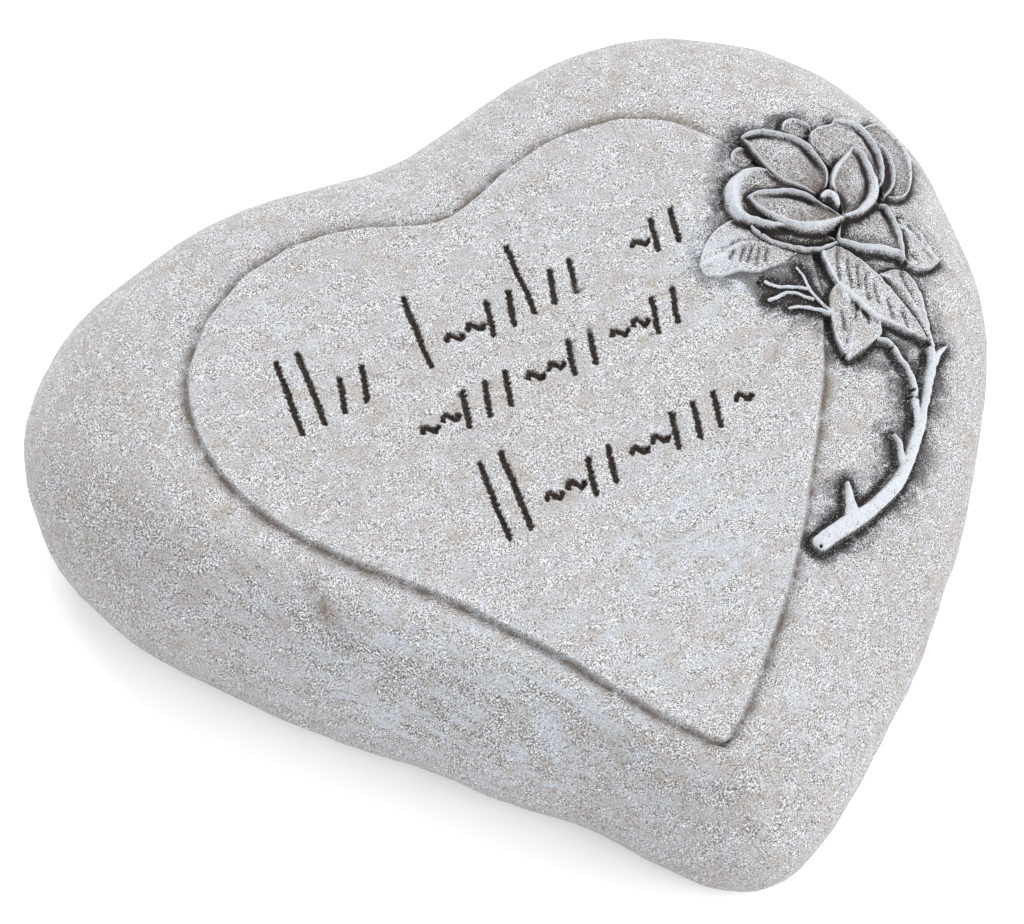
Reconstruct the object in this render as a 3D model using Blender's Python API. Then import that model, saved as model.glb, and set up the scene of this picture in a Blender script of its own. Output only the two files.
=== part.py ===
# Grave heart: one piece of cast stone, a rounded heart that lies on its flat underside.
# A heart-shaped panel stands a little proud on top, three rows of shallow strokes are
# pressed into it, and a rose spray in relief lies over the right shoulder.
# Axes: +X across the lobes, +Y from the tip to the notch, +Z up. The origin is the middle
# of the underside.

import math
from collections import namedtuple

import bmesh
import bpy
import numpy as np

# Driving dimensions, in metres
HEART_WIDTH = 0.1924
HEART_LENGTH = 0.1765
PANEL_HEIGHT = 0.0445
RIM_HEIGHT = 0.0171
FOOT_INSET = 0.0090
FOOT_DRAFT_HEIGHT = 0.0012
PANEL_STEP = 0.0011
PANEL_EDGE_RUN = 0.0008
PANEL_CROWN = 0.0008
COVE_DEPTH = 0.0005
COVE_REACH = 0.0022
RELIEF_LAYER = 0.0010
PETAL_RIM_WIDTH = 0.0013
PETAL_RIM_RISE = 0.0010
PETAL_HOLLOW = 0.0012
LEAF_RIM_RISE = 0.0003
RIB_RISE = 0.0006
VEIN_RISE = 0.0004
VEIN_SPACING = 0.0032
RELIEF_GROOVE = 0.0004
STROKE_WIDTH = 0.0014
STROKE_DEPTH = 0.0009
MARK_STEP = 0.0046
MARK_HEIGHT = 0.0070
TALL_HEIGHT = 0.0160

# Widths of the carving's details, in metres: the slope at the edge of a petal or stem, the
# groove beside them, the rise to a petal's middle, and the lines on a leaf
EDGE_RUN = 0.00045
GROOVE_REACH = 0.0014
SWELL_REACH = 0.0040
RIB_WIDTH = 0.0005
VEIN_WIDTH = 0.00045
VEIN_FADE = 0.0012
LEAF_EDGE_WIDTH = 0.0004

# The working mesh is refined to this far from the carving, in metres
FINE_MARGIN = 0.0024

# The top falls this much for each metre from the notch towards the tip
TOP_FALL = 0.06

# Share of the way from the rim to the panel that the domed shoulder takes
SHOULDER_SHARE = 0.92

# The pattern of the heart, drawn about a point under the panel and sized to the width and
# length above. Each row is the way out to the outline at equal turns, from the tip round by
# the right lobe.
RIM_PATTERN = (
    83.8, 79.0, 74.9, 75.7, 82.0, 94.0, 106.3, 114.4, 110.5, 95.2,
    84.0, 89.7, 100.3, 106.4, 94.3, 74.2, 62.4, 56.9, 58.2, 65.2,
)
PANEL_PATTERN = (
    67.5, 55.5, 49.5, 47.2, 49.3, 56.0, 66.3, 74.3, 74.0, 63.0,
    54.0, 63.3, 70.6, 71.3, 62.5, 50.0, 41.5, 38.3, 40.5, 48.5,
)

# How the working sphere is shared out over the profile, as latitudes in degrees
FOOT_LATITUDE = -40.0
RIM_LATITUDE = -14.0
SHOULDER_LATITUDE = 36.0
SHELF_SPAN = 4.0
PANEL_LATITUDE = SHOULDER_LATITUDE + SHELF_SPAN
SPHERE_LEVELS = 6
FINE_ROUNDS = 3
FACETS = 9200
FAR_AWAY = 99.0
SHARP_ANGLE = math.radians(35.0)

STONE_COLOUR = (0.60, 0.59, 0.57, 1.0)
STONE_ROUGHNESS = 0.88

Petal = namedtuple(
    "Petal", "root tip left right left_peak right_peak blunt level rim lip hollow side swell"
)
Leaf = namedtuple("Leaf", "root tip left right left_peak right_peak blunt level bow lean")
Stem = namedtuple("Stem", "points radii lift rise")


def petal(root, tip, bulge, peaks, level, side, rim=1.0, lip=0.35, hollow=1.0, blunt=1.0, swell=0.5):
    """A petal lies from its root to its tip and bulges to its left and right."""
    left, right = bulge
    left_peak, right_peak = peaks
    return Petal(
        root, tip, left, right, left_peak, right_peak, blunt, level, rim, lip, hollow, side, swell
    )


def leaf(root, tip, bulge, peaks, level, blunt=1.3, bow=0.0, lean=0.8):
    """A leaf is drawn as a petal is, with a midrib and slanting veins."""
    left, right = bulge
    left_peak, right_peak = peaks
    return Leaf(root, tip, left, right, left_peak, right_peak, blunt, level, bow, lean)


def stem(points, radii, lift=0.4, rise=1.3):
    """A stem is a round cord through its points, thick or thin as its radii say."""
    return Stem(points, radii, lift, rise)


# The rose spray on the pattern, from the lowest to the highest. Places, bulges and radii are
# in the pattern's own units; levels, lifts and rises count layers of relief.
BACK_PETALS = (
    petal((79.7, 26.4), (92.0, 43.2), (4.5, 8.0), (0.70, 0.35), 0.7, (1, 0), rim=0.6, hollow=0.4),
    petal((77.6, 26.2), (88.1, 37.3), (4.0, 5.6), (0.50, 0.30), 1.0, (1, -0.3), rim=0.7),
    petal((60.6, 37.2), (59.4, 43.9), (2.2, 2.2), (0.60, 0.60), 1.0, (0, 1), rim=0.2, hollow=0.0),
    petal((72.9, 39.2), (72.9, 46.7), (2.5, 2.8), (0.60, 0.60), 1.1, (0, 1), rim=0.3, hollow=0.0),
    petal((76.5, 26.9), (81.0, 43.9), (7.0, 8.0), (0.62, 0.40), 1.6, (1, -0.2), hollow=0.9),
)
LEAVES = (
    leaf((78.2, 15.3), (86.6, 9.4), (5.2, 5.4), (0.30, 0.45), 0.8),
    leaf((58.2, 23.8), (39.4, 21.0), (5.9, 6.9), (0.28, 0.42), 1.0),
    leaf((74.2, 9.4), (75.3, -6.5), (4.0, 3.0), (0.35, 0.35), 0.8),
    leaf((63.4, 18.1), (74.9, -7.2), (2.6, 4.5), (0.40, 0.55), 1.2, blunt=1.1, bow=-4.0, lean=-0.7),
    leaf((66.4, 8.7), (57.4, -6.8), (6.1, 3.9), (0.50, 0.30), 1.0, bow=0.8),
)
STEMS = (
    stem(((79.2, 3.0), (78.1, -2.8), (75.8, -7.5)), (0.4, 0.45, 0.6), rise=0.7),
    stem(((57.2, 15.9), (58.1, 12.5), (58.4, 8.5), (60.0, 3.3)), (0.5, 0.6, 0.65, 0.7), rise=0.8),
    stem(((50.8, 14.5), (54.4, 12.2), (58.0, 9.1)), (0.65, 0.6, 0.6), rise=0.8),
    stem(((50.2, 10.5), (52.8, 11.4), (57.4, 10.2)), (0.65, 0.6, 0.5), rise=0.8),
    stem(((53.0, 7.4), (55.4, 6.5), (60.2, 1.9)), (0.75, 0.75, 0.8), rise=0.9),
    stem(((65.1, -4.6), (67.9, -8.6), (68.1, -14.1), (66.2, -21.7)), (0.5, 0.6, 0.6, 0.7), rise=1.2),
    stem(
        ((74.9, -5.8), (73.8, -10.8), (69.4, -18.8), (62.1, -27.4), (52.6, -34.2), (34.6, -38.9)),
        (0.6, 0.8, 1.0, 1.15, 1.3, 1.45),
        rise=1.8,
    ),
    stem(((73.8, -10.6), (78.4, -8.6)), (1.1, 0.3), rise=1.2),
    stem(((60.1, -29.4), (58.8, -27.1), (58.0, -23.9)), (1.0, 0.6, 0.35), rise=1.3),
    stem(((41.7, -37.7), (43.9, -33.9), (44.7, -30.8)), (1.6, 0.8, 0.35), rise=1.3),
)
FRONT_PETALS = (
    petal((70.0, 19.4), (54.1, 27.0), (5.1, 4.5), (0.42, 0.50), 1.4, (-0.3, -1), hollow=0.8),
    petal((73.4, 23.9), (78.8, 9.2), (6.9, 6.9), (0.35, 0.30), 1.5, (0, -1), rim=1.2, lip=0.6, blunt=1.3),
    petal((68.3, 26.7), (51.9, 34.1), (6.4, 8.0), (0.50, 0.65), 1.9, (-1, -0.5), rim=1.2),
    petal((70.8, 26.5), (62.0, 46.5), (2.8, 7.5), (0.40, 0.53), 2.2, (1, 0.7)),
    petal((71.2, 23.4), (70.8, 27.5), (1.4, 1.4), (0.55, 0.55), 2.3, (0, 1), rim=0.2, hollow=0.0),
    petal((72.4, 21.4), (80.7, 35.9), (3.7, 6.0), (0.40, 0.45), 2.4, (1, -0.4), rim=1.3, swell=0.2),
    petal((71.8, 21.1), (56.1, 33.0), (5.0, 3.3), (0.38, 0.60), 2.6, (0.6, 1), lip=0.9, hollow=1.3),
)

# The rows of strokes on the panel: where a row starts, how it climbs, and one mark for each
# step. A bar is a tall leaning stroke, a slash a short one, and then a wave or a gap.
MARK_ROWS = (
    ((-43.0, 21.8), 0.100, "||//  |~~//|//  ~//"),
    ((-23.5, 9.0), 0.085, "~~///~~//~~//"),
    ((-17.5, -14.4), 0.095, "||~~//~~///~"),
)


def closed_spline(values, corner):
    """A cubic curve of a reach over one whole turn, smooth everywhere or with one corner."""
    count = len(values)
    knots = np.array(list(values) + [values[0]])
    change = np.diff(knots)
    matrix = np.zeros((count + 1, count + 1))
    known = np.zeros(count + 1)
    for row in range(1, count):
        matrix[row, row - 1: row + 2] = (1.0, 4.0, 1.0)
        known[row] = 6.0 * (change[row] - change[row - 1])
    if corner:
        matrix[0, 0] = 1.0
        matrix[count, count] = 1.0
    else:
        matrix[0, 0] = 1.0
        matrix[0, count] = -1.0
        matrix[count, 0] = 2.0
        matrix[count, 1] = 1.0
        matrix[count, count - 1] = 1.0
        matrix[count, count] = 2.0
        known[count] = 6.0 * (change[0] - change[count - 1])
    bend = np.linalg.solve(matrix, known)

    def reach(turn):
        place = (turn % (2.0 * math.pi)) / (2.0 * math.pi) * count
        first = np.minimum(place.astype(int), count - 1)
        after = place - first
        before = 1.0 - after
        line = knots[first] * before + knots[first + 1] * after
        curve = (before ** 3 - before) * bend[first] + (after ** 3 - after) * bend[first + 1]
        return line + curve / 6.0

    return reach


rim_reach = closed_spline(RIM_PATTERN, corner=False)
panel_reach = closed_spline(PANEL_PATTERN, corner=True)


def smooth_rise(value):
    """Goes softly from 0 to 1 as the value does."""
    value = np.clip(value, 0.0, 1.0)
    return value * value * (3.0 - 2.0 * value)


def pattern_outline(reach, count=240):
    turn = np.linspace(0.0, 2.0 * math.pi, count, endpoint=False)
    return np.stack([reach(turn) * np.sin(turn), -reach(turn) * np.cos(turn)], axis=1)


PATTERN_LOW = pattern_outline(rim_reach).min(axis=0)
PATTERN_HIGH = pattern_outline(rim_reach).max(axis=0)
ACROSS = HEART_WIDTH / (PATTERN_HIGH[0] - PATTERN_LOW[0])
ALONG = HEART_LENGTH / (PATTERN_HIGH[1] - PATTERN_LOW[1])
PATTERN_MIDDLE = (PATTERN_LOW + PATTERN_HIGH) / 2.0

# What one unit of the pattern measures on the stone, in metres
PATTERN_UNIT = math.sqrt(ACROSS * ALONG)


def on_pattern(length):
    """A length in metres as the pattern counts it."""
    return length / PATTERN_UNIT


def distance_to_line(x, y, points, radii=None):
    """Distance to an open line of points, and the line's radius at the nearest place."""
    nearest = np.full(x.shape, 1e9)
    thickness = np.zeros(x.shape)
    for index in range(len(points) - 1):
        start = points[index]
        step = points[index + 1] - start
        share = ((x - start[0]) * step[0] + (y - start[1]) * step[1]) / (step @ step)
        share = np.clip(share, 0.0, 1.0)
        away = np.hypot(x - start[0] - share * step[0], y - start[1] - share * step[1])
        closer = away < nearest
        nearest = np.where(closer, away, nearest)
        if radii is not None:
            radius = radii[index] + share * (radii[index + 1] - radii[index])
            thickness = np.where(closer, radius, thickness)
    return nearest, thickness


def distance_inside(x, y, outline):
    """Distance to a closed outline, positive inside it."""
    closed = np.vstack([outline, outline[:1]])
    nearest, _ = distance_to_line(x, y, closed)
    inside = np.zeros(x.shape, dtype=bool)
    for start, end in zip(closed[:-1], closed[1:]):
        crosses = (start[1] > y) != (end[1] > y)
        height = end[1] - start[1]
        if height == 0.0:
            continue
        inside ^= crosses & (x < start[0] + (y - start[1]) * (end[0] - start[0]) / height)
    return np.where(inside, nearest, -nearest)


def smooth_line(points, steps=8):
    """Points along a smooth curve through the given ones."""
    points = np.array(points, dtype=float)
    ends = np.vstack([2 * points[0] - points[1], points, 2 * points[-1] - points[-2]])
    line = []
    for index in range(1, len(ends) - 2):
        before, start, end, after = ends[index - 1: index + 3]
        for step in range(steps):
            t = step / steps
            line.append(
                0.5 * (2 * start + (end - before) * t
                       + (2 * before - 5 * start + 4 * end - after) * t ** 2
                       + (3 * start - before - 3 * end + after) * t ** 3)
            )
    line.append(points[-1])
    return np.array(line)


def along_form(form, x, y):
    """Place along a form from its root, as a share, and distance to its left."""
    root = np.array(form.root, dtype=float)
    axis = np.array(form.tip, dtype=float) - root
    length = np.hypot(*axis)
    axis = axis / length
    share = ((x - root[0]) * axis[0] + (y - root[1]) * axis[1]) / length
    left = -(x - root[0]) * axis[1] + (y - root[1]) * axis[0]
    return share, left, length


def form_outline(form, count=26):
    """The closed outline of a petal or leaf: each side bulges most at its own peak."""
    root = np.array(form.root, dtype=float)
    axis = np.array(form.tip, dtype=float) - root
    across = np.array([-axis[1], axis[0]]) / np.hypot(*axis)
    share = 0.5 - 0.5 * np.cos(np.linspace(0.0, math.pi, count))

    def side(width, peak):
        rise = (share / peak) ** (form.blunt * peak)
        fall = ((1.0 - share) / (1.0 - peak)) ** (form.blunt * (1.0 - peak))
        return width * rise * fall

    middle = root + share[:, None] * axis
    left = middle + side(form.left, form.left_peak)[:, None] * across
    right = middle - side(form.right, form.right_peak)[:, None] * across
    return np.vstack([left, right[-2:0:-1]])


def petal_height(form, x, y, inside):
    """A petal swells in its middle; on its open side a rolled rim stands over a hollow."""
    middle = (np.array(form.root) + np.array(form.tip)) / 2.0
    way = np.array(form.side, dtype=float) / np.hypot(*form.side)
    _, _, length = along_form(form, x, y)
    toward = ((x - middle[0]) * way[0] + (y - middle[1]) * way[1]) / (0.45 * length)
    open_side = smooth_rise(0.5 + 0.5 * toward)
    width = on_pattern(PETAL_RIM_WIDTH)
    rim = np.exp(-((inside - 0.5 * width) / (0.5 * width)) ** 2)
    rim = rim * (form.lip + (1.0 - form.lip) * open_side)
    hollow = np.exp(-((inside - 1.7 * width) / (0.9 * width)) ** 2) * open_side
    swell = form.swell * smooth_rise(inside / on_pattern(SWELL_REACH))
    return (
        (form.level + swell) * RELIEF_LAYER
        + form.rim * PETAL_RIM_RISE * rim
        - form.hollow * PETAL_HOLLOW * hollow
    )


def leaf_height(form, x, y, inside):
    """A leaf has a thin raised edge, a midrib and slanting side veins."""
    share, left, length = along_form(form, x, y)
    bow = form.bow * 4.0 * share * (1.0 - share)
    off_rib = left - bow
    rib = np.exp(-(off_rib / on_pattern(RIB_WIDTH)) ** 2)
    spacing = on_pattern(VEIN_SPACING)
    phase = (share * length - np.abs(off_rib) * form.lean) / spacing
    off_vein = (phase - np.round(phase)) * spacing
    vein = np.exp(-(off_vein / on_pattern(VEIN_WIDTH)) ** 2)
    edge_width = on_pattern(LEAF_EDGE_WIDTH)
    edge = np.exp(-((inside - edge_width) / edge_width) ** 2)
    return (
        form.level * RELIEF_LAYER
        + RIB_RISE * rib
        + VEIN_RISE * vein * smooth_rise(inside / on_pattern(VEIN_FADE))
        + LEAF_RIM_RISE * edge
    )


def near_line(x, y, line):
    """Which points lie in the box round a line, with room for the groove beside it."""
    room = on_pattern(FINE_MARGIN + GROOVE_REACH)
    low = line.min(axis=0) - room
    high = line.max(axis=0) + room
    return (x > low[0]) & (x < high[0]) & (y > low[1]) & (y < high[1])


def lay_form(form, profile, x, y, height, nearest):
    """Lays a petal or leaf over what is already carved."""
    outline = form_outline(form)
    near = near_line(x, y, outline)
    inside = distance_inside(x[near], y[near], outline)
    edge_run = on_pattern(EDGE_RUN)
    cover = smooth_rise((inside + edge_run) / edge_run)
    top = profile(form, x[near], y[near], np.maximum(inside, 0.0))
    height[near] = height[near] * (1.0 - cover) + top * cover
    nearest[near] = np.minimum(nearest[near], -inside)


def lay_stem(cord, x, y, height, nearest):
    """Lays a round stem over what is already carved."""
    both = np.hstack([np.array(cord.points, dtype=float), np.array(cord.radii)[:, None]])
    line = smooth_line(both)
    near = near_line(x, y, line[:, :2])
    away, radius = distance_to_line(x[near], y[near], line[:, :2], line[:, 2])
    edge_run = on_pattern(EDGE_RUN)
    crest = cord.rise * np.sqrt(np.clip(1.0 - (away / radius) ** 2, 0.0, 1.0))
    shaft = RELIEF_LAYER * (cord.lift * smooth_rise((radius + edge_run - away) / edge_run) + crest)
    under = height[near]
    height[near] = np.where(away < radius + edge_run, np.maximum(under, shaft), under)
    nearest[near] = np.minimum(nearest[near], away - radius)


def mark_lines():
    """The strokes of the three rows, each a short line of points on the pattern."""
    step = on_pattern(MARK_STEP)
    tall = on_pattern(TALL_HEIGHT)
    short = on_pattern(MARK_HEIGHT)
    shapes = {
        "|": ((0.0, 0.0), (0.10 * tall, tall)),
        "/": ((0.0, 0.0), (0.28 * short, short)),
        "~": tuple(
            (short * (0.10 + 0.11 * bend), short * (0.5 + 0.13 * math.sin(1.5 * bend)))
            for bend in range(5)
        ),
    }
    lines = []
    for (start_x, start_y), climb, marks in MARK_ROWS:
        for index, mark in enumerate(marks):
            if mark in shapes:
                start = np.array([start_x + index * step, start_y + index * step * climb])
                lines.append(smooth_line(shapes[mark], steps=3) + start)
    return lines


def carve(x, y):
    """Height of the carving over the plain heart, in metres, and distance to what is carved."""
    panel = distance_inside(x, y, pattern_outline(panel_reach))
    edge_run = on_pattern(PANEL_EDGE_RUN)
    rise = smooth_rise(panel / edge_run + 0.5)
    cove = np.exp(-(np.minimum(panel, 0.0) / on_pattern(COVE_REACH)) ** 2)
    height = PANEL_STEP * rise - COVE_DEPTH * cove * (1.0 - rise)
    nearest = np.full(x.shape, FAR_AWAY)
    for form in BACK_PETALS:
        lay_form(form, petal_height, x, y, height, nearest)
    for form in LEAVES:
        lay_form(form, leaf_height, x, y, height, nearest)
    for cord in STEMS:
        lay_stem(cord, x, y, height, nearest)
    for form in FRONT_PETALS:
        lay_form(form, petal_height, x, y, height, nearest)
    beside = np.exp(-(np.maximum(nearest, 0.0) / on_pattern(GROOVE_REACH)) ** 2)
    height -= np.where(nearest > 0.0, RELIEF_GROOVE * beside, 0.0)
    half = on_pattern(STROKE_WIDTH) / 2.0
    for line in mark_lines():
        near = near_line(x, y, line)
        away, _ = distance_to_line(x[near], y[near], line)
        height[near] -= STROKE_DEPTH * np.clip(1.0 - (away / half) ** 2, 0.0, 1.0)
        nearest[near] = np.minimum(nearest[near], away - half)
    return height, np.minimum(nearest, np.abs(panel) - edge_run / 2.0)


def plain_heart(turn, latitude):
    """The heart without its carving: x and y on the pattern, and height in metres."""
    rim = rim_reach(turn)
    panel = panel_reach(turn)
    shoulder = rim + (panel - rim) * SHOULDER_SHARE
    foot = rim - on_pattern(FOOT_INSET)
    reach = foot * (latitude + 90.0) / (FOOT_LATITUDE + 90.0)
    lift = np.full(turn.shape, -FOOT_DRAFT_HEIGHT)
    roll = np.clip((latitude - FOOT_LATITUDE) / (RIM_LATITUDE - FOOT_LATITUDE), 0.0, 1.0)
    angle = roll * math.pi / 2.0
    on_roll = latitude > FOOT_LATITUDE
    reach = np.where(on_roll, foot + (rim - foot) * np.sin(angle), reach)
    lift = np.where(
        on_roll, lift + (RIM_HEIGHT + FOOT_DRAFT_HEIGHT) * (1.0 - np.cos(angle)), lift
    )
    dome = np.clip((latitude - RIM_LATITUDE) / (SHOULDER_LATITUDE - RIM_LATITUDE), 0.0, 1.0)
    angle = dome * math.pi / 2.0
    on_dome = latitude > RIM_LATITUDE
    reach = np.where(on_dome, rim + (shoulder - rim) * (1.0 - np.cos(angle)), reach)
    shelf = (latitude - SHOULDER_LATITUDE) / (PANEL_LATITUDE - SHOULDER_LATITUDE)
    reach = np.where(shelf > 0.0, shoulder + (panel - shoulder) * shelf, reach)
    inward = np.clip((latitude - PANEL_LATITUDE) / (90.0 - PANEL_LATITUDE), 0.0, 1.0)
    reach = np.where(inward > 0.0, panel * (1.0 - inward), reach)
    x = reach * np.sin(turn)
    y = -reach * np.cos(turn)
    top = PANEL_HEIGHT + TOP_FALL * y * ALONG - RIM_HEIGHT
    lift = np.where(on_dome, RIM_HEIGHT + top * np.sin(angle), lift)
    lift = lift + PANEL_CROWN * (1.0 - (1.0 - inward) ** 2)
    return x, y, lift


def sphere_places(points):
    """Turn from the tip and latitude in degrees of points on the working sphere."""
    turn = np.arctan2(points[:, 0], -points[:, 1]) % (2.0 * math.pi)
    height = points[:, 2] / np.linalg.norm(points, axis=1)
    return turn, np.degrees(np.arcsin(np.clip(height, -1.0, 1.0)))


def refined_sphere():
    """A sphere whose triangles are finer where the carving is."""
    bm = bmesh.new()
    bmesh.ops.create_icosphere(bm, subdivisions=SPHERE_LEVELS, radius=1.0)
    margin = on_pattern(FINE_MARGIN)
    for _ in range(FINE_ROUNDS):
        turn, latitude = sphere_places(np.array([vert.co[:] for vert in bm.verts]))
        x, y, _ = plain_heart(turn, latitude)
        _, nearest = carve(x, y)
        fine = (nearest < margin) & (latitude > RIM_LATITUDE)
        edges = [
            edge for edge in bm.edges
            if fine[edge.verts[0].index] or fine[edge.verts[1].index]
        ]
        bmesh.ops.subdivide_edges(bm, edges=edges, cuts=1)
        bmesh.ops.triangulate(bm, faces=[face for face in bm.faces if len(face.verts) > 3])
        bm.verts.index_update()
        margin = margin / 2.0
    return bm


def mesh_normals(mesh):
    normals = np.empty(len(mesh.vertices) * 3)
    mesh.vertex_normals.foreach_get("vector", normals)
    return normals.reshape(-1, 3)


def carved_mesh():
    """The whole heart as one fine closed mesh."""
    bm = refined_sphere()
    mesh = bpy.data.meshes.new("heart_form")
    bm.to_mesh(mesh)
    bm.free()
    points = np.empty(len(mesh.vertices) * 3)
    mesh.vertices.foreach_get("co", points)
    turn, latitude = sphere_places(points.reshape(-1, 3))
    x, y, lift = plain_heart(turn, latitude)
    middle = PATTERN_MIDDLE
    plain = np.stack([(x - middle[0]) * ACROSS, (y - middle[1]) * ALONG, lift], axis=1)
    mesh.vertices.foreach_set("co", plain.ravel())
    mesh.update()
    height, _ = carve(x, y)
    height = height * (latitude > RIM_LATITUDE)
    carved = plain + mesh_normals(mesh) * height[:, None]
    mesh.vertices.foreach_set("co", carved.ravel())
    mesh.update()
    return mesh


def thin_out(mesh, collection):
    """Keeps the triangles where the form needs them, and trims the underside flat."""
    rough = bpy.data.objects.new("heart_rough", mesh)
    collection.objects.link(rough)
    decimate = rough.modifiers.new("facets", "DECIMATE")
    decimate.ratio = FACETS / len(mesh.polygons)
    depsgraph = bpy.context.evaluated_depsgraph_get()
    thin = bpy.data.meshes.new_from_object(rough.evaluated_get(depsgraph))
    bpy.data.objects.remove(rough)
    bm = bmesh.new()
    bm.from_mesh(thin)
    everything = bm.verts[:] + bm.edges[:] + bm.faces[:]
    bmesh.ops.bisect_plane(
        bm, geom=everything, plane_co=(0.0, 0.0, 0.0), plane_no=(0.0, 0.0, 1.0), clear_inner=True
    )
    border = [edge for edge in bm.edges if edge.is_boundary]
    bmesh.ops.holes_fill(bm, edges=border, sides=0)
    bmesh.ops.recalc_face_normals(bm, faces=bm.faces)
    bm.to_mesh(thin)
    bm.free()
    return thin


def stone_material():
    material = bpy.data.materials.new("cast_stone")
    material.use_nodes = True
    shader = material.node_tree.nodes["Principled BSDF"]
    shader.inputs["Base Color"].default_value = STONE_COLOUR
    shader.inputs["Roughness"].default_value = STONE_ROUGHNESS
    shader.inputs["Metallic"].default_value = 0.0
    return material


def main():
    for old in list(bpy.data.objects):
        bpy.data.objects.remove(old, do_unlink=True)
    collection = bpy.data.collections.new("grave_heart")
    bpy.context.scene.collection.children.link(collection)
    mesh = thin_out(carved_mesh(), collection)
    mesh.name = "heart_stone"
    mesh.shade_smooth()
    mesh.set_sharp_from_angle(angle=SHARP_ANGLE)
    mesh.materials.clear()
    mesh.materials.append(stone_material())
    stone = bpy.data.objects.new("heart_stone", mesh)
    collection.objects.link(stone)


main()
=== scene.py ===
# Grave heart in cast stone: the carved stone with its dry-brushed, sooted finish and painted
# shade, a pale floor, soft light and the camera. One piece stands for the imported solid and
# keeps its form.
# Axes as in the imported model, in metres: +X across the lobes, +Y from tip to notch, +Z up.

import math
from collections import namedtuple

import bmesh
import bpy
import numpy as np
from mathutils import Matrix, Vector


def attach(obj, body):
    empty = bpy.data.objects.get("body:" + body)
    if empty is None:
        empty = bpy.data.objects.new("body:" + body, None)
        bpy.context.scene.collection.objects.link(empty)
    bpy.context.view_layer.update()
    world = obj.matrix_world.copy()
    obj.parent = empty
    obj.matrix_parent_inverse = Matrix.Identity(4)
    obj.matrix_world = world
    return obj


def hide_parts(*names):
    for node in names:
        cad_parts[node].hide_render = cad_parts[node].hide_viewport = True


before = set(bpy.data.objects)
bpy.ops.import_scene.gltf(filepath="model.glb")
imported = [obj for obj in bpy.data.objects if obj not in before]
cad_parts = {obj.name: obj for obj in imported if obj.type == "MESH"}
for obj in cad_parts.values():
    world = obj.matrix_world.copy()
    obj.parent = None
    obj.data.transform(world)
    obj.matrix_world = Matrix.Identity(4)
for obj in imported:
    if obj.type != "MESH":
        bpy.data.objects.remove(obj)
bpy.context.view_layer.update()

# Sizes that the solid has too, in metres
HEART_WIDTH = 0.1924
HEART_LENGTH = 0.1765
PANEL_HEIGHT = 0.0445
RIM_HEIGHT = 0.0171
FOOT_INSET = 0.0090
FOOT_DRAFT_HEIGHT = 0.0012
PANEL_STEP = 0.0011
PANEL_EDGE_RUN = 0.0008
PANEL_CROWN = 0.0008
COVE_DEPTH = 0.0005
COVE_REACH = 0.0022
RELIEF_LAYER = 0.0010
RELIEF_GROOVE = 0.0004
GROOVE_REACH = 0.0014
EDGE_RUN = 0.00045
SWELL_REACH = 0.0040
STROKE_WIDTH = 0.0014
STROKE_DEPTH = 0.0009
MARK_STEP = 0.0046
MARK_HEIGHT = 0.0070
TALL_HEIGHT = 0.0160

# How much the top falls towards the tip, and how far the shoulder goes in to the panel
TOP_FALL = 0.06
SHOULDER_SHARE = 0.92

# The finer carving of the spray, in metres
RIM_RISE = 0.0011
RIM_ROUND = 0.00065
PETAL_HOLLOW = 0.0009
HOLLOW_WIDTH = 0.0009
RIB_RISE = 0.0005
RIB_ROUND = 0.0005
VEIN_GROOVE = 0.00044
VEIN_DEPTH = 0.0005

# The same carving in shares: a rolled edge's spread by its radius, a hollow's way off its edge
# by its width, a leaf's edge by a petal's, how far a vein's groove runs on past its ends, and
# how soon it fades in and out there. The two radii are on the pattern: from which an edge has
# its whole hollow, and of a leaf's edge at its ends.
RIM_SPREAD = 1.5
HOLLOW_OFF_EDGE = 0.4
HOLLOW_FROM_RADIUS = 0.3
LEAF_EDGE_SHARE = 0.5
LEAF_END_RADIUS = 0.1
VEIN_ENDS = 0.45
VEIN_FADE_IN = 5.0
VEIN_FADE_OUT = 3.0

# How the marks in the rows lean, and the wave's start, step, middle, swing and turn
BAR_LEAN = 0.10
SLASH_LEAN = 0.28
WAVE_START = 0.10
WAVE_STEP = 0.11
WAVE_MIDDLE = 0.5
WAVE_SWING = 0.13
WAVE_TURN = 1.5
WAVE_POINTS = 5

# The heart's pattern: the way out to each outline at equal turns, from the tip round by the
# right lobe, in units that the width and length size
RIM_PATTERN = (
    83.8, 79.0, 74.9, 75.7, 82.0, 94.0, 106.3, 114.4, 110.5, 95.2,
    84.0, 89.7, 100.3, 106.4, 94.3, 74.2, 62.4, 56.9, 58.2, 65.2,
)
PANEL_PATTERN = (
    67.5, 55.5, 49.5, 47.2, 49.3, 56.0, 66.3, 74.3, 74.0, 63.0,
    54.0, 63.3, 70.6, 71.3, 62.5, 50.0, 41.5, 38.3, 40.5, 48.5,
)

# How the working sphere is shared out over the profile, as latitudes in degrees
FOOT_LATITUDE = -40.0
RIM_LATITUDE = -14.0
SHOULDER_LATITUDE = 36.0
PANEL_LATITUDE = 40.0
SPHERE_LEVELS = 6

# Each round of refining splits the triangles that miss the carving by more than this, in metres
MISS_ALLOWED = (0.00012, 0.00010, 0.00008, 0.00008, 0.00012)

# A distance on the pattern that nothing is at, and the room kept round a line, in metres
FAR_AWAY = 99.0
LINE_ROOM = 0.0038

# The hand of the maker, in metres: how far drawn edges wander, and how the surface rolls. The
# strokes' raggedness is a share of their width, and the spray is rough this far round on the
# pattern.
WANDER = 0.00009
WANDER_SIZE = 0.0080
STROKE_RAGGED = 0.16
STROKE_RAGGED_SIZE = 0.0011
ROLL_HEIGHT = 0.00022
ROLL_SIZE = 0.032
DENT_HEIGHT = 0.00007
DENT_SIZE = 0.0065
ROUGH_HEIGHT = 0.00008
ROUGH_SIZE = 0.0021
ROUGH_ROUND_SPRAY = 2.0

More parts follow.
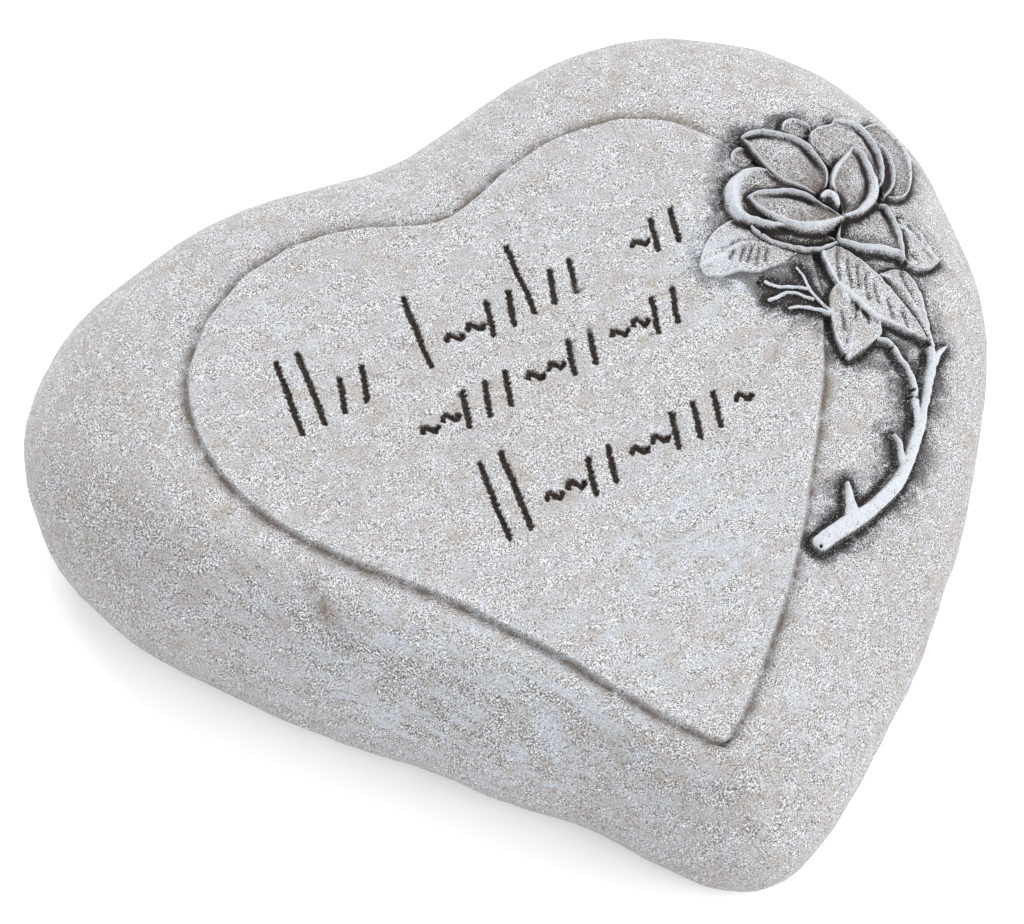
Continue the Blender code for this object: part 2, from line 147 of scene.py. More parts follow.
# Air holes of the casting: place and radius on the pattern
AIR_HOLES = (
    (55.3, 24.5, 0.42), (62.1, 18.4, 0.40), (57.2, -5.8, 0.42), (66.6, -7.4, 0.34),
    (50.8, 11.4, 0.36), (49.6, 15.3, 0.40), (66.2, -16.2, 0.42), (65.5, -17.3, 0.40),
    (66.2, -17.8, 0.40), (55.8, 3.1, 0.26), (67.1, -21.1, 0.20), (33.6, -40.1, 0.34),
)
AIR_HOLE_DEPTH = 0.0009

# How soon a hole reaches its depth, and a hole or stroke its darkest, from its edge inwards
HOLE_STEEPNESS = 1.5
HOLE_INK = 2.5
STROKE_INK = 2.2

# Scratches: a line on the pattern, then half its width and its depth in metres
SCRATCHES = (
    (((-54.0, -6.9), (-53.8, -10.3), (-53.2, -13.8), (-52.4, -17.2)), 0.0020, 0.0004),
    (((53.4, 6.3), (50.4, 3.8), (46.9, 1.2), (42.9, -2.7)), 0.0003, 0.0002),
)

# How far soot and painted shade reach from the foot of a form, and the grey wash with painted
# shadow from the whole spray, in metres
SOOT_AND_SHADE_REACH = 0.0011
HALO_REACH = 0.0048

# How high a form stands over its ground, which sets how dark the soot and painted shade at its
# foot are: what its edge adds to its level in layers of relief, which share of a stem's rise
# counts, and what plain ground adds in layers
FORM_EDGE_DROP = 0.3
STEM_DROP_SHARE = 0.6
PLAIN_GROUND_DROP = 1.0

# The way towards the lamps; on the sides that face away from it, dark pits are painted in as
# shade
LAMP_WAY = np.array((0.35, 0.75, 0.55))
SHADED_SIDE_BASE = 0.7
SHADED_SIDE_TURN = 1.4

# Shares of soot with painted shade, of wear and of brown on a petal, a leaf, a stem, the panel's
# edge and a scratch, and of the grey wash with painted shadow and of chalk away from their
# thicker spots
PETAL_SOOT_AND_SHADE = 0.50
PETAL_SOOT_AND_SHADE_BY_LEVEL = 0.08
HOLLOW_SOOT_AND_SHADE = 0.55
PETAL_WORN = 0.12
SWELL_WORN = 0.26
CREST_WORN = 1.6
LEAF_DIRT = 0.22
GROOVE_SOOT_AND_SHADE = 0.40
LEAF_WORN = 0.42
RIDGE_WORN = 0.55
STEM_FOOT_SOOT_AND_SHADE = 0.6
COVE_SOOT_AND_SHADE = 0.10
LIP_WORN = 0.34
SCRATCH_TAN = 0.6
WASH_AND_SHADE_BASE = 0.42
CHALK_BASE = 0.32

# The ways that the chalk was brushed, in degrees from +X
SIDE_BRUSHING = -62.0
PANEL_BRUSHING = -4.0

# The worn lip of the panel, and the brown wash outside it, in metres
LIP_WIDTH = 0.0012
TAN_REACH = 0.0014

# Where the flower's petals meet on the pattern, and how far they are washed brown
FLOWER_HEART = (71.0, 25.5)
FLOWER_REACH = 8.5

# Where the grey wash round the spray, partly painted shadow, lies thicker: place and reach on
# the pattern, and share
WASH_AND_SHADE_SPOTS = (
    (62.0, 42.0, 8.0, 0.34), (74.0, 50.0, 9.0, 0.34), (60.0, 14.0, 5.0, 0.30),
    (61.0, -13.0, 7.0, 0.50), (69.0, -13.0, 5.0, 0.60), (50.0, 34.0, 7.0, 0.40),
    (50.0, 14.0, 8.0, 0.40), (56.5, 1.0, 6.0, 0.35), (57.0, -25.0, 7.0, 0.35),
    (42.0, -33.0, 7.0, 0.40), (37.0, -42.0, 6.0, 0.35), (60.0, -34.0, 9.0, 0.25),
    (66.0, 49.0, 7.0, 0.20), (82.0, -2.0, 8.0, 0.25), (76.0, -18.0, 8.0, 0.20),
)

# Where chalk was brushed on thickest: place on the stone in metres, reach and share
CHALK_SPOTS = (
    (-0.046, -0.030, 0.030, 0.020, 0.62), (-0.022, -0.052, 0.030, 0.020, 0.60),
    (-0.062, 0.000, 0.024, 0.018, 0.40), (0.012, -0.034, 0.045, 0.022, 0.50),
    (0.038, 0.018, 0.045, 0.012, 0.60), (-0.045, 0.040, 0.045, 0.018, 0.40),
    (0.010, 0.045, 0.045, 0.030, 0.20), (0.014, -0.074, 0.030, 0.014, 0.35),
)

Petal = namedtuple("Petal", "one other radii level swell hollows")
Leaf = namedtuple("Leaf", "one other rib veins radii level")
Stem = namedtuple("Stem", "points radii lift rise")
Carving = namedtuple("Carving", "height nearest dirt worn tan panel ink")
Ground = namedtuple("Ground", "x y inside edges")


def petal(one, other, one_radii, other_radii, one_hollow, other_hollow, level, swell=0.5):
    """A petal lies between two rolled edges, drawn from tip to root, and is hollow beside them."""
    return Petal(one, other, (one_radii, other_radii), level, swell, (one_hollow, other_hollow))


def leaf(one, other, rib, veins, radii, level):
    """A leaf lies between two edges, with a midrib and grooves between its veins."""
    ends = LEAF_END_RADIUS
    return Leaf(one, other, rib, veins, tuple((ends, radius, ends) for radius in radii), level)


def stem(points, radii, lift=0.4, rise=1.3):
    """A stem is a round cord through its points, thick or thin as its radii say."""
    return Stem(points, radii, lift, rise)


# The rose spray on the pattern, from the lowest form to the highest. Levels, lifts and rises
# count layers of relief.
BACK_PETALS = (
    petal(
        (
            (87.3, 42.0), (90.6, 43.4), (92.6, 42.7), (93.6, 40.5), (94.1, 37.7), (93.4, 33.9),
            (91.7, 30.2), (89.1, 26.6), (85.8, 24.0), (82.9, 24.0),
        ),
        ((87.3, 42.0), (85.7, 33.3), (82.9, 24.0)),
        (0.15, 0.25, 0.3, 0.3, 0.3, 0.25, 0.2, 0.1),
        (0.1, 0.1),
        (0.1, 0.1),
        (0,),
        level=0.5,
    ),
    petal(
        (
            (88.3, 37.4), (88.7, 35.5), (88.4, 32.9), (87.3, 30.1), (85.7, 27.4), (83.7, 25.3),
            (81.7, 24.0),
        ),
        ((88.3, 37.4), (83.9, 30.6), (81.7, 24.0)),
        (0.12, 0.22, 0.3, 0.32, 0.3, 0.24, 0.16),
        (0.1, 0.1),
        (0.3, 0.8, 0.8, 0.7, 0.4),
        (0,),
        level=0.9,
    ),
    petal(
        ((57.9, 42.5), (58.8, 43.9), (60.2, 44.1), (61.5, 43.1), (62.4, 40.7)),
        ((57.9, 42.5), (59.3, 40.1), (62.4, 40.7)),
        (0.15, 0.35, 0.4, 0.3, 0.1),
        (0.1, 0.1),
        (0,),
        (0,),
        level=0.6,
    ),
    petal(
        ((70.4, 44.8), (71.5, 46.1), (72.8, 46.4), (74.3, 45.7), (75.4, 44.0), (75.3, 41.4)),
        ((70.4, 44.8), (72.1, 42.2), (75.3, 41.4)),
        (0.15, 0.35, 0.42, 0.36, 0.2, 0.1),
        (0.1, 0.1),
        (0, 0, 0, 0.4, 0.6),
        (0,),
        level=0.8,
    ),
    petal(
        (
            (81.2, 43.9), (83.0, 43.6), (84.8, 42.3), (85.8, 40.3), (86.3, 37.9), (86.1, 35.0),
            (85.3, 31.8), (84.1, 29.1), (82.2, 26.6), (76.6, 22.0),
        ),
        (
            (81.2, 43.9), (79.9, 42.8), (77.7, 42.7), (75.6, 42.0), (74.3, 40.7), (73.5, 37.9),
            (74.4, 33.0), (75.0, 26.0), (76.6, 22.0),
        ),
        (0.15, 0.32, 0.4, 0.42, 0.4, 0.36, 0.34, 0.32, 0.26, 0.1),
        (0.1, 0.16, 0.2, 0.2, 0.18, 0.12, 0.1, 0.1, 0.1),
        (0, 0.2, 0.4, 0.8, 1, 1, 0.8, 0.5, 0.3, 0.2),
        (0,),
        level=1.4,
    ),
)

# The large leaf is seen aslant, so its midrib is its near edge
LARGE_LEAF_EDGE = (
    (74.5, -7.3), (71.6, -5.2), (69.3, -3.0), (67.4, -1.0), (66.1, 1.6), (65.1, 4.6),
    (64.2, 7.3), (63.6, 10.0), (64.0, 13.3), (64.5, 16.7), (66.7, 17.0),
)
LEAVES = (
    leaf(
        ((85.8, 9.2), (85.4, 11.9), (85.2, 14.5), (84.2, 16.8), (82.6, 18.6), (80.3, 18.9)),
        (
            (85.8, 9.2), (83.4, 8.0), (80.7, 7.6), (79.4, 8.4), (78.8, 9.9), (79.0, 16.5),
            (80.3, 18.9),
        ),
        ((85.7, 9.1), (83.5, 13.1), (81.8, 16.5), (80.2, 18.8)),
        (
            ((80.4, 11.4), (81.3, 9.3)),
            ((83.6, 16.3), (84.5, 13.3)),
            ((83.4, 13.1), (84.5, 10.3)),
        ),
        radii=(0.22, 0.32), level=0.7,
    ),
    leaf(
        (
            (41.0, 23.1), (42.6, 25.0), (45.1, 27.2), (47.7, 28.5), (50.5, 29.5), (52.5, 29.5),
            (54.0, 27.6), (54.8, 23.9), (60.6, 18.6),
        ),
        (
            (41.0, 23.1), (41.2, 20.8), (42.4, 20.2), (44.8, 19.6), (47.7, 19.2), (50.1, 17.8),
            (53.5, 17.6), (56.2, 17.6), (58.1, 18.0), (60.6, 18.6),
        ),
        (
            (40.9, 22.9), (45.3, 23.6), (48.5, 24.4), (51.1, 24.3), (54.3, 23.0), (57.0, 20.8),
            (60.5, 18.5),
        ),
        (
            ((45.7, 23.9), (49.2, 25.0), (51.4, 24.8), (55.1, 22.9)),
            ((49.2, 21.5), (50.5, 23.2)),
            ((50.5, 20.8), (52.1, 22.7)),
            ((51.7, 19.7), (53.3, 21.9)),
            ((53.5, 19.6), (54.7, 21.3)),
            ((47.3, 22.6), (48.4, 23.5)),
        ),
        radii=(0.34, 0.28), level=0.9,
    ),
    leaf(
        (
            (75.3, -7.0), (76.2, -3.4), (77.2, -0.5), (77.9, 2.5), (78.0, 5.2), (77.1, 7.2),
            (74.9, 8.2), (72.5, 8.1),
        ),
        ((75.3, -7.0), (74.2, -0.9), (72.7, 5.0), (72.5, 8.1)),
        ((75.3, -7.0), (75.7, -0.4), (74.7, 5.0), (72.5, 8.1)),
        (
            ((73.1, 6.3), (74.0, 3.1), (74.4, -0.9)),
            ((76.5, 6.2), (76.2, 1.5)),
        ),
        radii=(0.36, 0.1), level=0.6,
    ),
    leaf(
        (
            (57.5, -6.8), (57.6, -3.5), (58.1, -0.5), (58.9, 2.2), (60.2, 5.1), (61.4, 7.2),
            (63.1, 8.6), (64.1, 8.4),
        ),
        (
            (57.5, -6.8), (60.2, -6.0), (62.9, -5.2), (65.8, -4.1), (66.8, -2.3), (67.2, -0.7),
            (65.7, 3.6), (64.1, 8.4),
        ),
        ((57.5, -6.8), (60.4, -2.4), (62.9, 2.9), (64.1, 8.3)),
        (
            ((59.6, -2.7), (62.1, 0.8), (63.6, 3.6)),
            ((63.2, 1.0), (65.1, 3.6)),
            ((65.3, -0.7), (65.4, 1.6)),
            ((60.0, -0.1), (61.0, 2.5)),
        ),
        radii=(0.4, 0.3), level=0.9,
    ),
    leaf(
        (
            (74.5, -7.3), (74.0, -4.4), (73.5, -1.4), (72.7, 1.8), (72.1, 5.6), (71.3, 9.2),
            (69.9, 12.2), (68.3, 15.0), (66.7, 17.0),
        ),
        LARGE_LEAF_EDGE,
        LARGE_LEAF_EDGE,
        (
            ((64.3, 9.7), (65.7, 13.0), (67.1, 15.5)),
            ((67.2, 7.0), (68.1, 9.4), (69.3, 11.4)),
            ((69.1, 2.6), (69.5, 4.3), (70.3, 6.4)),
            ((65.8, 7.7), (67.0, 11.1), (68.0, 12.9)),
            ((67.8, 4.0), (68.7, 7.1), (69.8, 8.8)),
            ((70.1, -0.9), (70.8, 1.9)),
            ((71.7, -3.2), (72.2, -0.8)),
        ),
        radii=(0.26, 0.46), level=1.1,
    ),
)
STEMS = (
    stem(
        ((78.0, 2.5), (77.2, -1.2), (76.4, -4.2), (75.7, -6.3), (75.4, -8.1)),
        (0.3, 0.34, 0.36, 0.4, 0.45),
        rise=0.8,
    ),
    stem(
        ((58.0, 15.1), (58.2, 12.6), (57.8, 10.1), (58.3, 7.0), (58.9, 4.6), (59.3, 2.9)),
        (0.34, 0.4, 0.42, 0.44, 0.46, 0.48),
        rise=1.1,
    ),
    stem(
        ((51.0, 14.7), (52.8, 12.7), (55.2, 11.4), (57.4, 10.1)),
        (0.52, 0.46, 0.42, 0.42),
        rise=1.1,
    ),
    stem(
        ((49.8, 10.7), (51.1, 10.6), (52.6, 10.9), (54.4, 10.5), (55.7, 9.3), (57.4, 7.5)),
        (0.66, 0.56, 0.46, 0.42, 0.42, 0.42),
        rise=1.1,
    ),
    stem(
        ((52.4, 7.5), (54.5, 7.0), (56.4, 5.6), (57.7, 4.4), (59.5, 2.6)),
        (0.4, 0.5, 0.52, 0.5, 0.46),
        rise=1.1,
    ),
    stem(
        (
            (65.0, -4.9), (66.7, -6.2), (67.3, -8.7), (67.4, -10.9), (67.3, -13.1), (66.9, -15.6),
            (66.1, -17.6), (64.9, -20.2), (63.6, -22.8), (62.0, -25.3),
        ),
        (0.35, 0.5, 0.5, 0.46, 0.5, 0.55, 0.6, 0.68, 0.75, 0.8),
        rise=1.1,
    ),
    stem(
        (
            (74.3, -8.8), (73.2, -10.8), (71.7, -13.2), (70.0, -15.4), (68.3, -17.7),
            (66.5, -19.9), (64.4, -22.4), (62.4, -24.6), (60.4, -26.7), (57.9, -29.1),
            (54.9, -31.6), (51.7, -33.7), (48.7, -35.2), (45.4, -36.4), (42.1, -37.2),
            (38.8, -38.1), (35.9, -38.9), (34.2, -39.3),
        ),
        (
            0.5, 0.62, 0.8, 0.72, 0.62, 0.62, 0.85, 1.05, 1.12, 1.12, 1.08, 1.12, 1.25, 1.42, 1.55,
            1.62, 1.66, 1.6,
        ),
        rise=1.6,
    ),
    stem(
        ((57.0, -29.1), (57.3, -27.1), (57.9, -25.1), (57.7, -23.9)),
        (1, 0.55, 0.4, 0.25),
        rise=1.1,
    ),
    stem(
        ((42.6, -36.0), (43.4, -33.6), (44.1, -31.9), (44.5, -30.4)),
        (1.5, 0.8, 0.58, 0.3),
        rise=1.2,
    ),
    stem(
        ((73.5, -11.3), (75.2, -10.0), (77.5, -8.7)),
        (0.9, 0.55, 0.2),
        rise=1.1,
    ),
)
FRONT_PETALS = (
    petal(
        (
            (54.2, 27.7), (54.0, 26.1), (55.0, 24.5), (56.2, 22.6), (57.8, 20.8), (59.6, 19.2),
            (61.7, 18.0), (64.2, 17.3), (66.8, 17.2), (68.6, 17.2),
        ),
        ((54.2, 27.7), (58.6, 23.9), (64.8, 20.7), (68.6, 17.2)),
        (0.2, 0.44, 0.5, 0.46, 0.44, 0.48, 0.46, 0.4, 0.3, 0.2),
        (0.1, 0.1),
        (0.9, 1.1),
        (0.8, 0.8),
        level=1.0,
    ),
    petal(
        (
            (78.2, 9.6), (78.0, 11.0), (76.4, 12.2), (74.3, 13.2), (72.1, 14.0), (70.5, 15.2),
            (69.3, 16.5), (68.5, 17.7), (70.3, 20.6),
        ),
        (
            (78.3, 9.7), (79.1, 11.9), (79.9, 14.7), (80.5, 17.5), (80.6, 19.8), (80.3, 21.9),
            (76.8, 22.1), (70.4, 20.7),
        ),
        (0.15, 0.55, 0.66, 0.66, 0.6, 0.54, 0.46, 0.34, 0.2),
        (0.15, 0.34, 0.34, 0.34, 0.36, 0.28, 0.1, 0.1),
        (0.2, 0.3, 0.3, 0.3, 0.4, 0.4, 0.5, 0.8, 1),
        (0.3, 0.4, 0.5, 0.7, 0.9, 1, 1, 1),
        level=1.2,
    ),
    petal(
        (
            (62.5, 36.9), (60.7, 37.7), (58.4, 37.8), (56.0, 36.9), (54.3, 35.2), (53.3, 32.9),
            (53.2, 30.5), (54.5, 28.1), (56.6, 26.1), (59.0, 24.7), (62.1, 23.3), (65.6, 22.4),
            (69.4, 22.5),
        ),
        (
            (62.7, 37.2), (62.9, 35.8), (64.4, 33.3), (66.3, 31.0), (68.4, 27.8), (69.3, 25.1),
            (69.6, 22.8),
        ),
        (0.2, 0.5, 0.9, 1.25, 1.5, 1.55, 1.3, 0.95, 0.7, 0.6, 0.5, 0.3, 0.1),
        (0.1, 0.1),
        (0, 0, 0, 0, 0.1, 0.4, 0.9, 1, 1, 0.9, 0.7, 0.4),
        (0,),
        level=1.5, swell=0.2,
    ),
    petal(
        (
            (61.8, 46.0), (63.3, 46.1), (65.8, 45.5), (67.8, 44.2), (70.0, 42.4), (71.5, 40.1),
            (72.6, 37.4), (73.0, 34.7), (72.9, 32.2), (72.0, 29.8), (70.5, 27.7), (69.5, 26.8),
        ),
        (
            (61.8, 46.0), (62.3, 43.8), (62.6, 41.4), (62.9, 39.0), (63.4, 36.5), (64.2, 33.9),
            (65.4, 31.8), (67.2, 29.9), (68.5, 28.2), (69.5, 26.8),
        ),
        (0.12, 0.36, 0.42, 0.44, 0.42, 0.48, 0.5, 0.4, 0.28, 0.2, 0.15, 0.1),
        (0.1, 0.26, 0.3, 0.28, 0.28, 0.3, 0.26, 0.2, 0.12, 0.1),
        (0.6, 1, 1, 0.6, 0.4, 0.7, 1, 0.9, 0.5, 0.3, 0.2, 0),
        (0,),
        level=1.9,
    ),
    petal(
        (
            (80.8, 35.9), (78.7, 34.3), (76.5, 33.1), (74.7, 31.7), (73.2, 29.7), (72.3, 27.3),
            (71.9, 24.8), (71.1, 21.5),
        ),
        (
            (80.8, 35.9), (81.5, 34.1), (81.6, 31.6), (81.3, 28.9), (80.5, 26.4), (79.0, 24.2),
            (76.8, 22.5), (74.3, 21.5), (71.1, 21.5),
        ),
        (0.12, 0.3, 0.42, 0.48, 0.42, 0.32, 0.2, 0.1),
        (0.14, 0.34, 0.5, 0.6, 0.76, 0.92, 0.84, 0.58, 0.3),
        (0,),
        (0.5, 0.9, 1, 1, 1, 0.9, 0.7, 0.4, 0.1),
        level=2.1, swell=0.2,
    ),
    petal(
        (
            (56.4, 32.5), (58.6, 32.3), (61.3, 31.5), (64.2, 30.3), (66.5, 28.7), (67.6, 27.2),
            (68.0, 26.0), (69.0, 24.1), (70.7, 21.1),
        ),
        (
            (56.5, 32.6), (57.2, 29.6), (58.5, 27.0), (60.4, 24.6), (62.5, 22.6), (65.0, 21.4),
            (67.7, 20.8), (70.8, 21.2),
        ),
        (0.12, 0.36, 0.46, 0.48, 0.44, 0.36, 0.26, 0.16, 0.1),
        (0.12, 0.3, 0.4, 0.6, 0.85, 0.95, 0.7, 0.2),
        (0, 0.3, 0.8, 1.1, 1.1, 1, 0.7, 0.4, 0.1),
        (0,),
        level=2.2, swell=0.7,
    ),
)
BUD = stem(
    ((69.4, 26.4), (70.3, 26.5), (71.1, 25.8), (71.2, 24.8), (70.9, 23.7)),
    (0.5, 0.6, 0.65, 0.6, 0.4),
    lift=2.7, rise=0.9,
)

# The rows of strokes on the panel: where a row starts, how it climbs, and one mark for each
# step. A bar is a tall leaning stroke, a slash a short one, and then a wave or a gap.
MARK_ROWS = (
    ((-43.0, 21.8), 0.100, "||//  |~~//|//  ~//"),
    ((-23.5, 9.0), 0.085, "~~///~~//~~//"),
    ((-17.5, -14.4), 0.095, "||~~//~~///~"),
)


def closed_spline(values, corner):
    """A cubic curve of a reach over one whole turn, smooth everywhere or with one corner."""
    count = len(values)
    knots = np.array(list(values) + [values[0]])
    change = np.diff(knots)
    matrix = np.zeros((count + 1, count + 1))
    known = np.zeros(count + 1)
    for row in range(1, count):
        matrix[row, row - 1: row + 2] = (1.0, 4.0, 1.0)
        known[row] = 6.0 * (change[row] - change[row - 1])
    if corner:
        matrix[0, 0] = 1.0
        matrix[count, count] = 1.0
    else:
        matrix[0, 0] = 1.0
        matrix[0, count] = -1.0
        matrix[count, 0] = 2.0
        matrix[count, 1] = 1.0
        matrix[count, count - 1] = 1.0
        matrix[count, count] = 2.0
        known[count] = 6.0 * (change[0] - change[count - 1])
    bend = np.linalg.solve(matrix, known)

    def reach(turn):
        place = (turn % (2.0 * math.pi)) / (2.0 * math.pi) * count
        first = np.minimum(place.astype(int), count - 1)
        after = place - first
        before = 1.0 - after
        line = knots[first] * before + knots[first + 1] * after
        curve = (before ** 3 - before) * bend[first] + (after ** 3 - after) * bend[first + 1]
        return line + curve / 6.0

    return reach


rim_reach = closed_spline(RIM_PATTERN, corner=False)
panel_reach = closed_spline(PANEL_PATTERN, corner=True)


def smooth_rise(value):
    """Goes softly from 0 to 1 as the value does."""
    value = np.clip(value, 0.0, 1.0)
    return value * value * (3.0 - 2.0 * value)


def pattern_outline(reach, count=240):
    """Points round an outline on the pattern, at equal turns."""
    turn = np.linspace(0.0, 2.0 * math.pi, count, endpoint=False)
    return np.stack([reach(turn) * np.sin(turn), -reach(turn) * np.cos(turn)], axis=1)


PATTERN_LOW = pattern_outline(rim_reach).min(axis=0)
PATTERN_HIGH = pattern_outline(rim_reach).max(axis=0)
ACROSS = HEART_WIDTH / (PATTERN_HIGH[0] - PATTERN_LOW[0])
ALONG = HEART_LENGTH / (PATTERN_HIGH[1] - PATTERN_LOW[1])
PATTERN_MIDDLE = (PATTERN_LOW + PATTERN_HIGH) / 2.0
PATTERN_UNIT = math.sqrt(ACROSS * ALONG)


def on_pattern(length):
    """A length in metres as the pattern counts it."""
    return length / PATTERN_UNIT


def ripple(places, size, seed, waves=16):
    """An even, wandering field of about 1 in height, with bumps of the given size."""
    chance = np.random.default_rng(seed)
    total = np.zeros(len(places))
    for _ in range(waves):
        way = chance.normal(size=places.shape[1])
        way = way / np.linalg.norm(way)
        length = size * chance.uniform(0.7, 1.5)
        start = chance.uniform(0.0, 2.0 * math.pi)
        total += np.sin(places @ way * (2.0 * math.pi / length) + start)
    return total / math.sqrt(waves / 2.0)


def distance_to_line(x, y, points, values=None):
    """Distance to an open line of points, and the line's own value at the nearest place."""
    nearest = np.full(x.shape, 1e9)
    found = np.zeros(x.shape)
    for index in range(len(points) - 1):
        start = points[index]
        step = points[index + 1] - start
        share = ((x - start[0]) * step[0] + (y - start[1]) * step[1]) / (step @ step)
        share = np.clip(share, 0.0, 1.0)
        away = np.hypot(x - start[0] - share * step[0], y - start[1] - share * step[1])
        closer = away < nearest
        nearest = np.where(closer, away, nearest)
        if values is not None:
            value = values[index] + share * (values[index + 1] - values[index])
            found = np.where(closer, value, found)
    return nearest, found


def distance_inside(x, y, outline):
    """Distance to a closed outline, positive inside it."""
    closed = np.vstack([outline, outline[:1]])
    nearest, _ = distance_to_line(x, y, closed)
    inside = np.zeros(x.shape, dtype=bool)
    for start, end in zip(closed[:-1], closed[1:]):
        crosses = (start[1] > y) != (end[1] > y)
        height = end[1] - start[1]
        if height == 0.0:
            continue
        inside ^= crosses & (x < start[0] + (y - start[1]) * (end[0] - start[0]) / height)
    return np.where(inside, nearest, -nearest)


def smooth_line(points, steps=8):
    """Points along a smooth curve through the given ones."""
    points = np.array(points, dtype=float)
    ends = np.vstack([2 * points[0] - points[1], points, 2 * points[-1] - points[-2]])
    line = []
    for index in range(1, len(ends) - 2):
        before, start, end, after = ends[index - 1: index + 3]
        for step in range(steps):
            t = step / steps
            line.append(
                0.5 * (2 * start + (end - before) * t
                       + (2 * before - 5 * start + 4 * end - after) * t ** 2
                       + (3 * start - before - 3 * end + after) * t ** 3)
            )
    line.append(points[-1])
    return np.array(line)


def spread(values, share):
    """Values spread evenly over a line, read at shares of its length."""
    return np.interp(share, np.linspace(0.0, 1.0, len(values)), values)


def between_edges(form, x, y):
    """The ground of a form: how far points lie inside it, and each edge's distance, radius and
    place along it."""
    one = smooth_line(form.one, steps=5)
    other = smooth_line(form.other, steps=5)
    outline = np.vstack([one, other[-2:0:-1]])
    inside = distance_inside(x, y, outline)
    edges = []
    for line, radii in ((one, form.radii[0]), (other, form.radii[1])):
        away, place = distance_to_line(x, y, line, np.linspace(0.0, 1.0, len(line)))
        radius = spread(radii, place)
        edges.append((away, radius, place))
        inside = np.maximum(inside, radius - away)
    return Ground(x, y, inside, edges)


def rolled(edges):
    """Height of the rolled edges in metres, and how near their crests points lie."""
    height = 0.0
    crest = 0.0
    for away, radius, _ in edges:
        round_top = 1.0 - smooth_rise(away / (RIM_SPREAD * radius))
        height = np.maximum(height, RIM_RISE * np.sqrt(radius / on_pattern(RIM_ROUND)) * round_top)
        crest = np.maximum(crest, round_top)
    return height, crest


def petal_top(form, ground):
    """Height, soot with painted shade, and wear of a petal: its rolled edges stand over a hollow,
    which painted shade darkens, as it does lower petals.
    """
    rim, crest = rolled(ground.edges)
    width = on_pattern(HOLLOW_WIDTH)
    hollow = 0.0
    for (away, radius, place), hollows in zip(ground.edges, form.hollows):
        off_edge = (away - radius - HOLLOW_OFF_EDGE * width) / width
        beside = spread(hollows, place) * np.exp(-off_edge ** 2)
        hollow = np.maximum(hollow, beside * smooth_rise(radius / HOLLOW_FROM_RADIUS))
    swelling = smooth_rise(ground.inside / on_pattern(SWELL_REACH))
    level = (form.level + form.swell * swelling) * RELIEF_LAYER
    height = level + rim - PETAL_HOLLOW * hollow * (1.0 - crest)
    # Painted shade, with soot, darkens the hollows beside the rims, and more so the lower a petal
    # lies
    plain_soot_and_shade = PETAL_SOOT_AND_SHADE - PETAL_SOOT_AND_SHADE_BY_LEVEL * form.level
    dirt = (plain_soot_and_shade + HOLLOW_SOOT_AND_SHADE * hollow) * (1.0 - crest)
    brushed = PETAL_WORN + SWELL_WORN * swelling * (1.0 - hollow)
    return height, dirt, np.maximum(brushed, smooth_rise(CREST_WORN * crest))


def vein_grooves(form, x, y):
    """How deep points lie in the grooves between a leaf's veins, as a share."""
    groove = 0.0
    for vein in form.veins:
        vein = np.array(vein)
        first = vein[0] + VEIN_ENDS * (vein[0] - vein[1])
        last = vein[-1] + VEIN_ENDS * (vein[-1] - vein[-2])
        line = smooth_line(np.vstack([first, vein, last]), steps=4)
        away, place = distance_to_line(x, y, line, np.linspace(0.0, 1.0, len(line)))
        faded = smooth_rise(VEIN_FADE_IN * place) * smooth_rise(VEIN_FADE_OUT * (1.0 - place))
        width = on_pattern(VEIN_GROOVE) * (1.0 + faded) / 2.0
        groove = np.maximum(groove, faded * np.exp(-(away / width) ** 2))
    return groove


def leaf_top(form, ground):
    """Height, soot with painted shade, and wear of a leaf: soft edges, a midrib and grooves
    between the veins, which painted shade darkens.
    """
    rim, crest = rolled(ground.edges)
    off_rib, _ = distance_to_line(ground.x, ground.y, smooth_line(form.rib, steps=5))
    rib = np.exp(-(off_rib / on_pattern(RIB_ROUND)) ** 2)
    groove = vein_grooves(form, ground.x, ground.y)
    ridge = np.maximum(LEAF_EDGE_SHARE * rim, RIB_RISE * rib)
    height = form.level * RELIEF_LAYER + ridge - VEIN_DEPTH * groove
    # Painted shade darkens the vein grooves, over the leaf's even soot
    dirt = LEAF_DIRT + GROOVE_SOOT_AND_SHADE * groove * (1.0 - rib)
    return height, dirt, LEAF_WORN * (1.0 - groove) + RIDGE_WORN * np.maximum(rib, crest)


def near_line(x, y, line):
    """Which points lie in the box round a line, with room for the groove beside it."""
    room = on_pattern(LINE_ROOM)
    low = line.min(axis=0) - room
    high = line.max(axis=0) + room
    return (x > low[0]) & (x < high[0]) & (y > low[1]) & (y < high[1])


def soot_and_shade_beside(outside, drop):
    """Soot and painted shade against the foot of a form, by the distance from it and its drop."""
    beside = np.exp(-(np.maximum(outside, 0.0) / on_pattern(SOOT_AND_SHADE_REACH)) ** 2)
    return beside * smooth_rise(drop / RELIEF_LAYER)


def lay_form(form, top, x, y, carving):
    """Lays a petal or leaf over what is already carved."""
    near = near_line(x, y, np.array(form.one + form.other, dtype=float))
    ground = between_edges(form, x[near], y[near])
    inside = ground.inside
    edge_run = on_pattern(EDGE_RUN)
    cover = smooth_rise((inside + edge_run) / edge_run)
    height, dirt, worn = top(form, ground)
    # Painted shade, with soot, darkens the ground beside the form, the more the higher the form
    # stands over it
    drop = (form.level + FORM_EDGE_DROP) * RELIEF_LAYER - carving.height[near]
    under = np.maximum(carving.dirt[near], soot_and_shade_beside(-inside - edge_run, drop))
    carving.height[near] = carving.height[near] * (1.0 - cover) + height * cover
    carving.dirt[near] = under * (1.0 - cover) + dirt * cover
    carving.worn[near] = carving.worn[near] * (1.0 - cover) * (1.0 - under) + worn * cover
    carving.nearest[near] = np.minimum(carving.nearest[near], -inside)


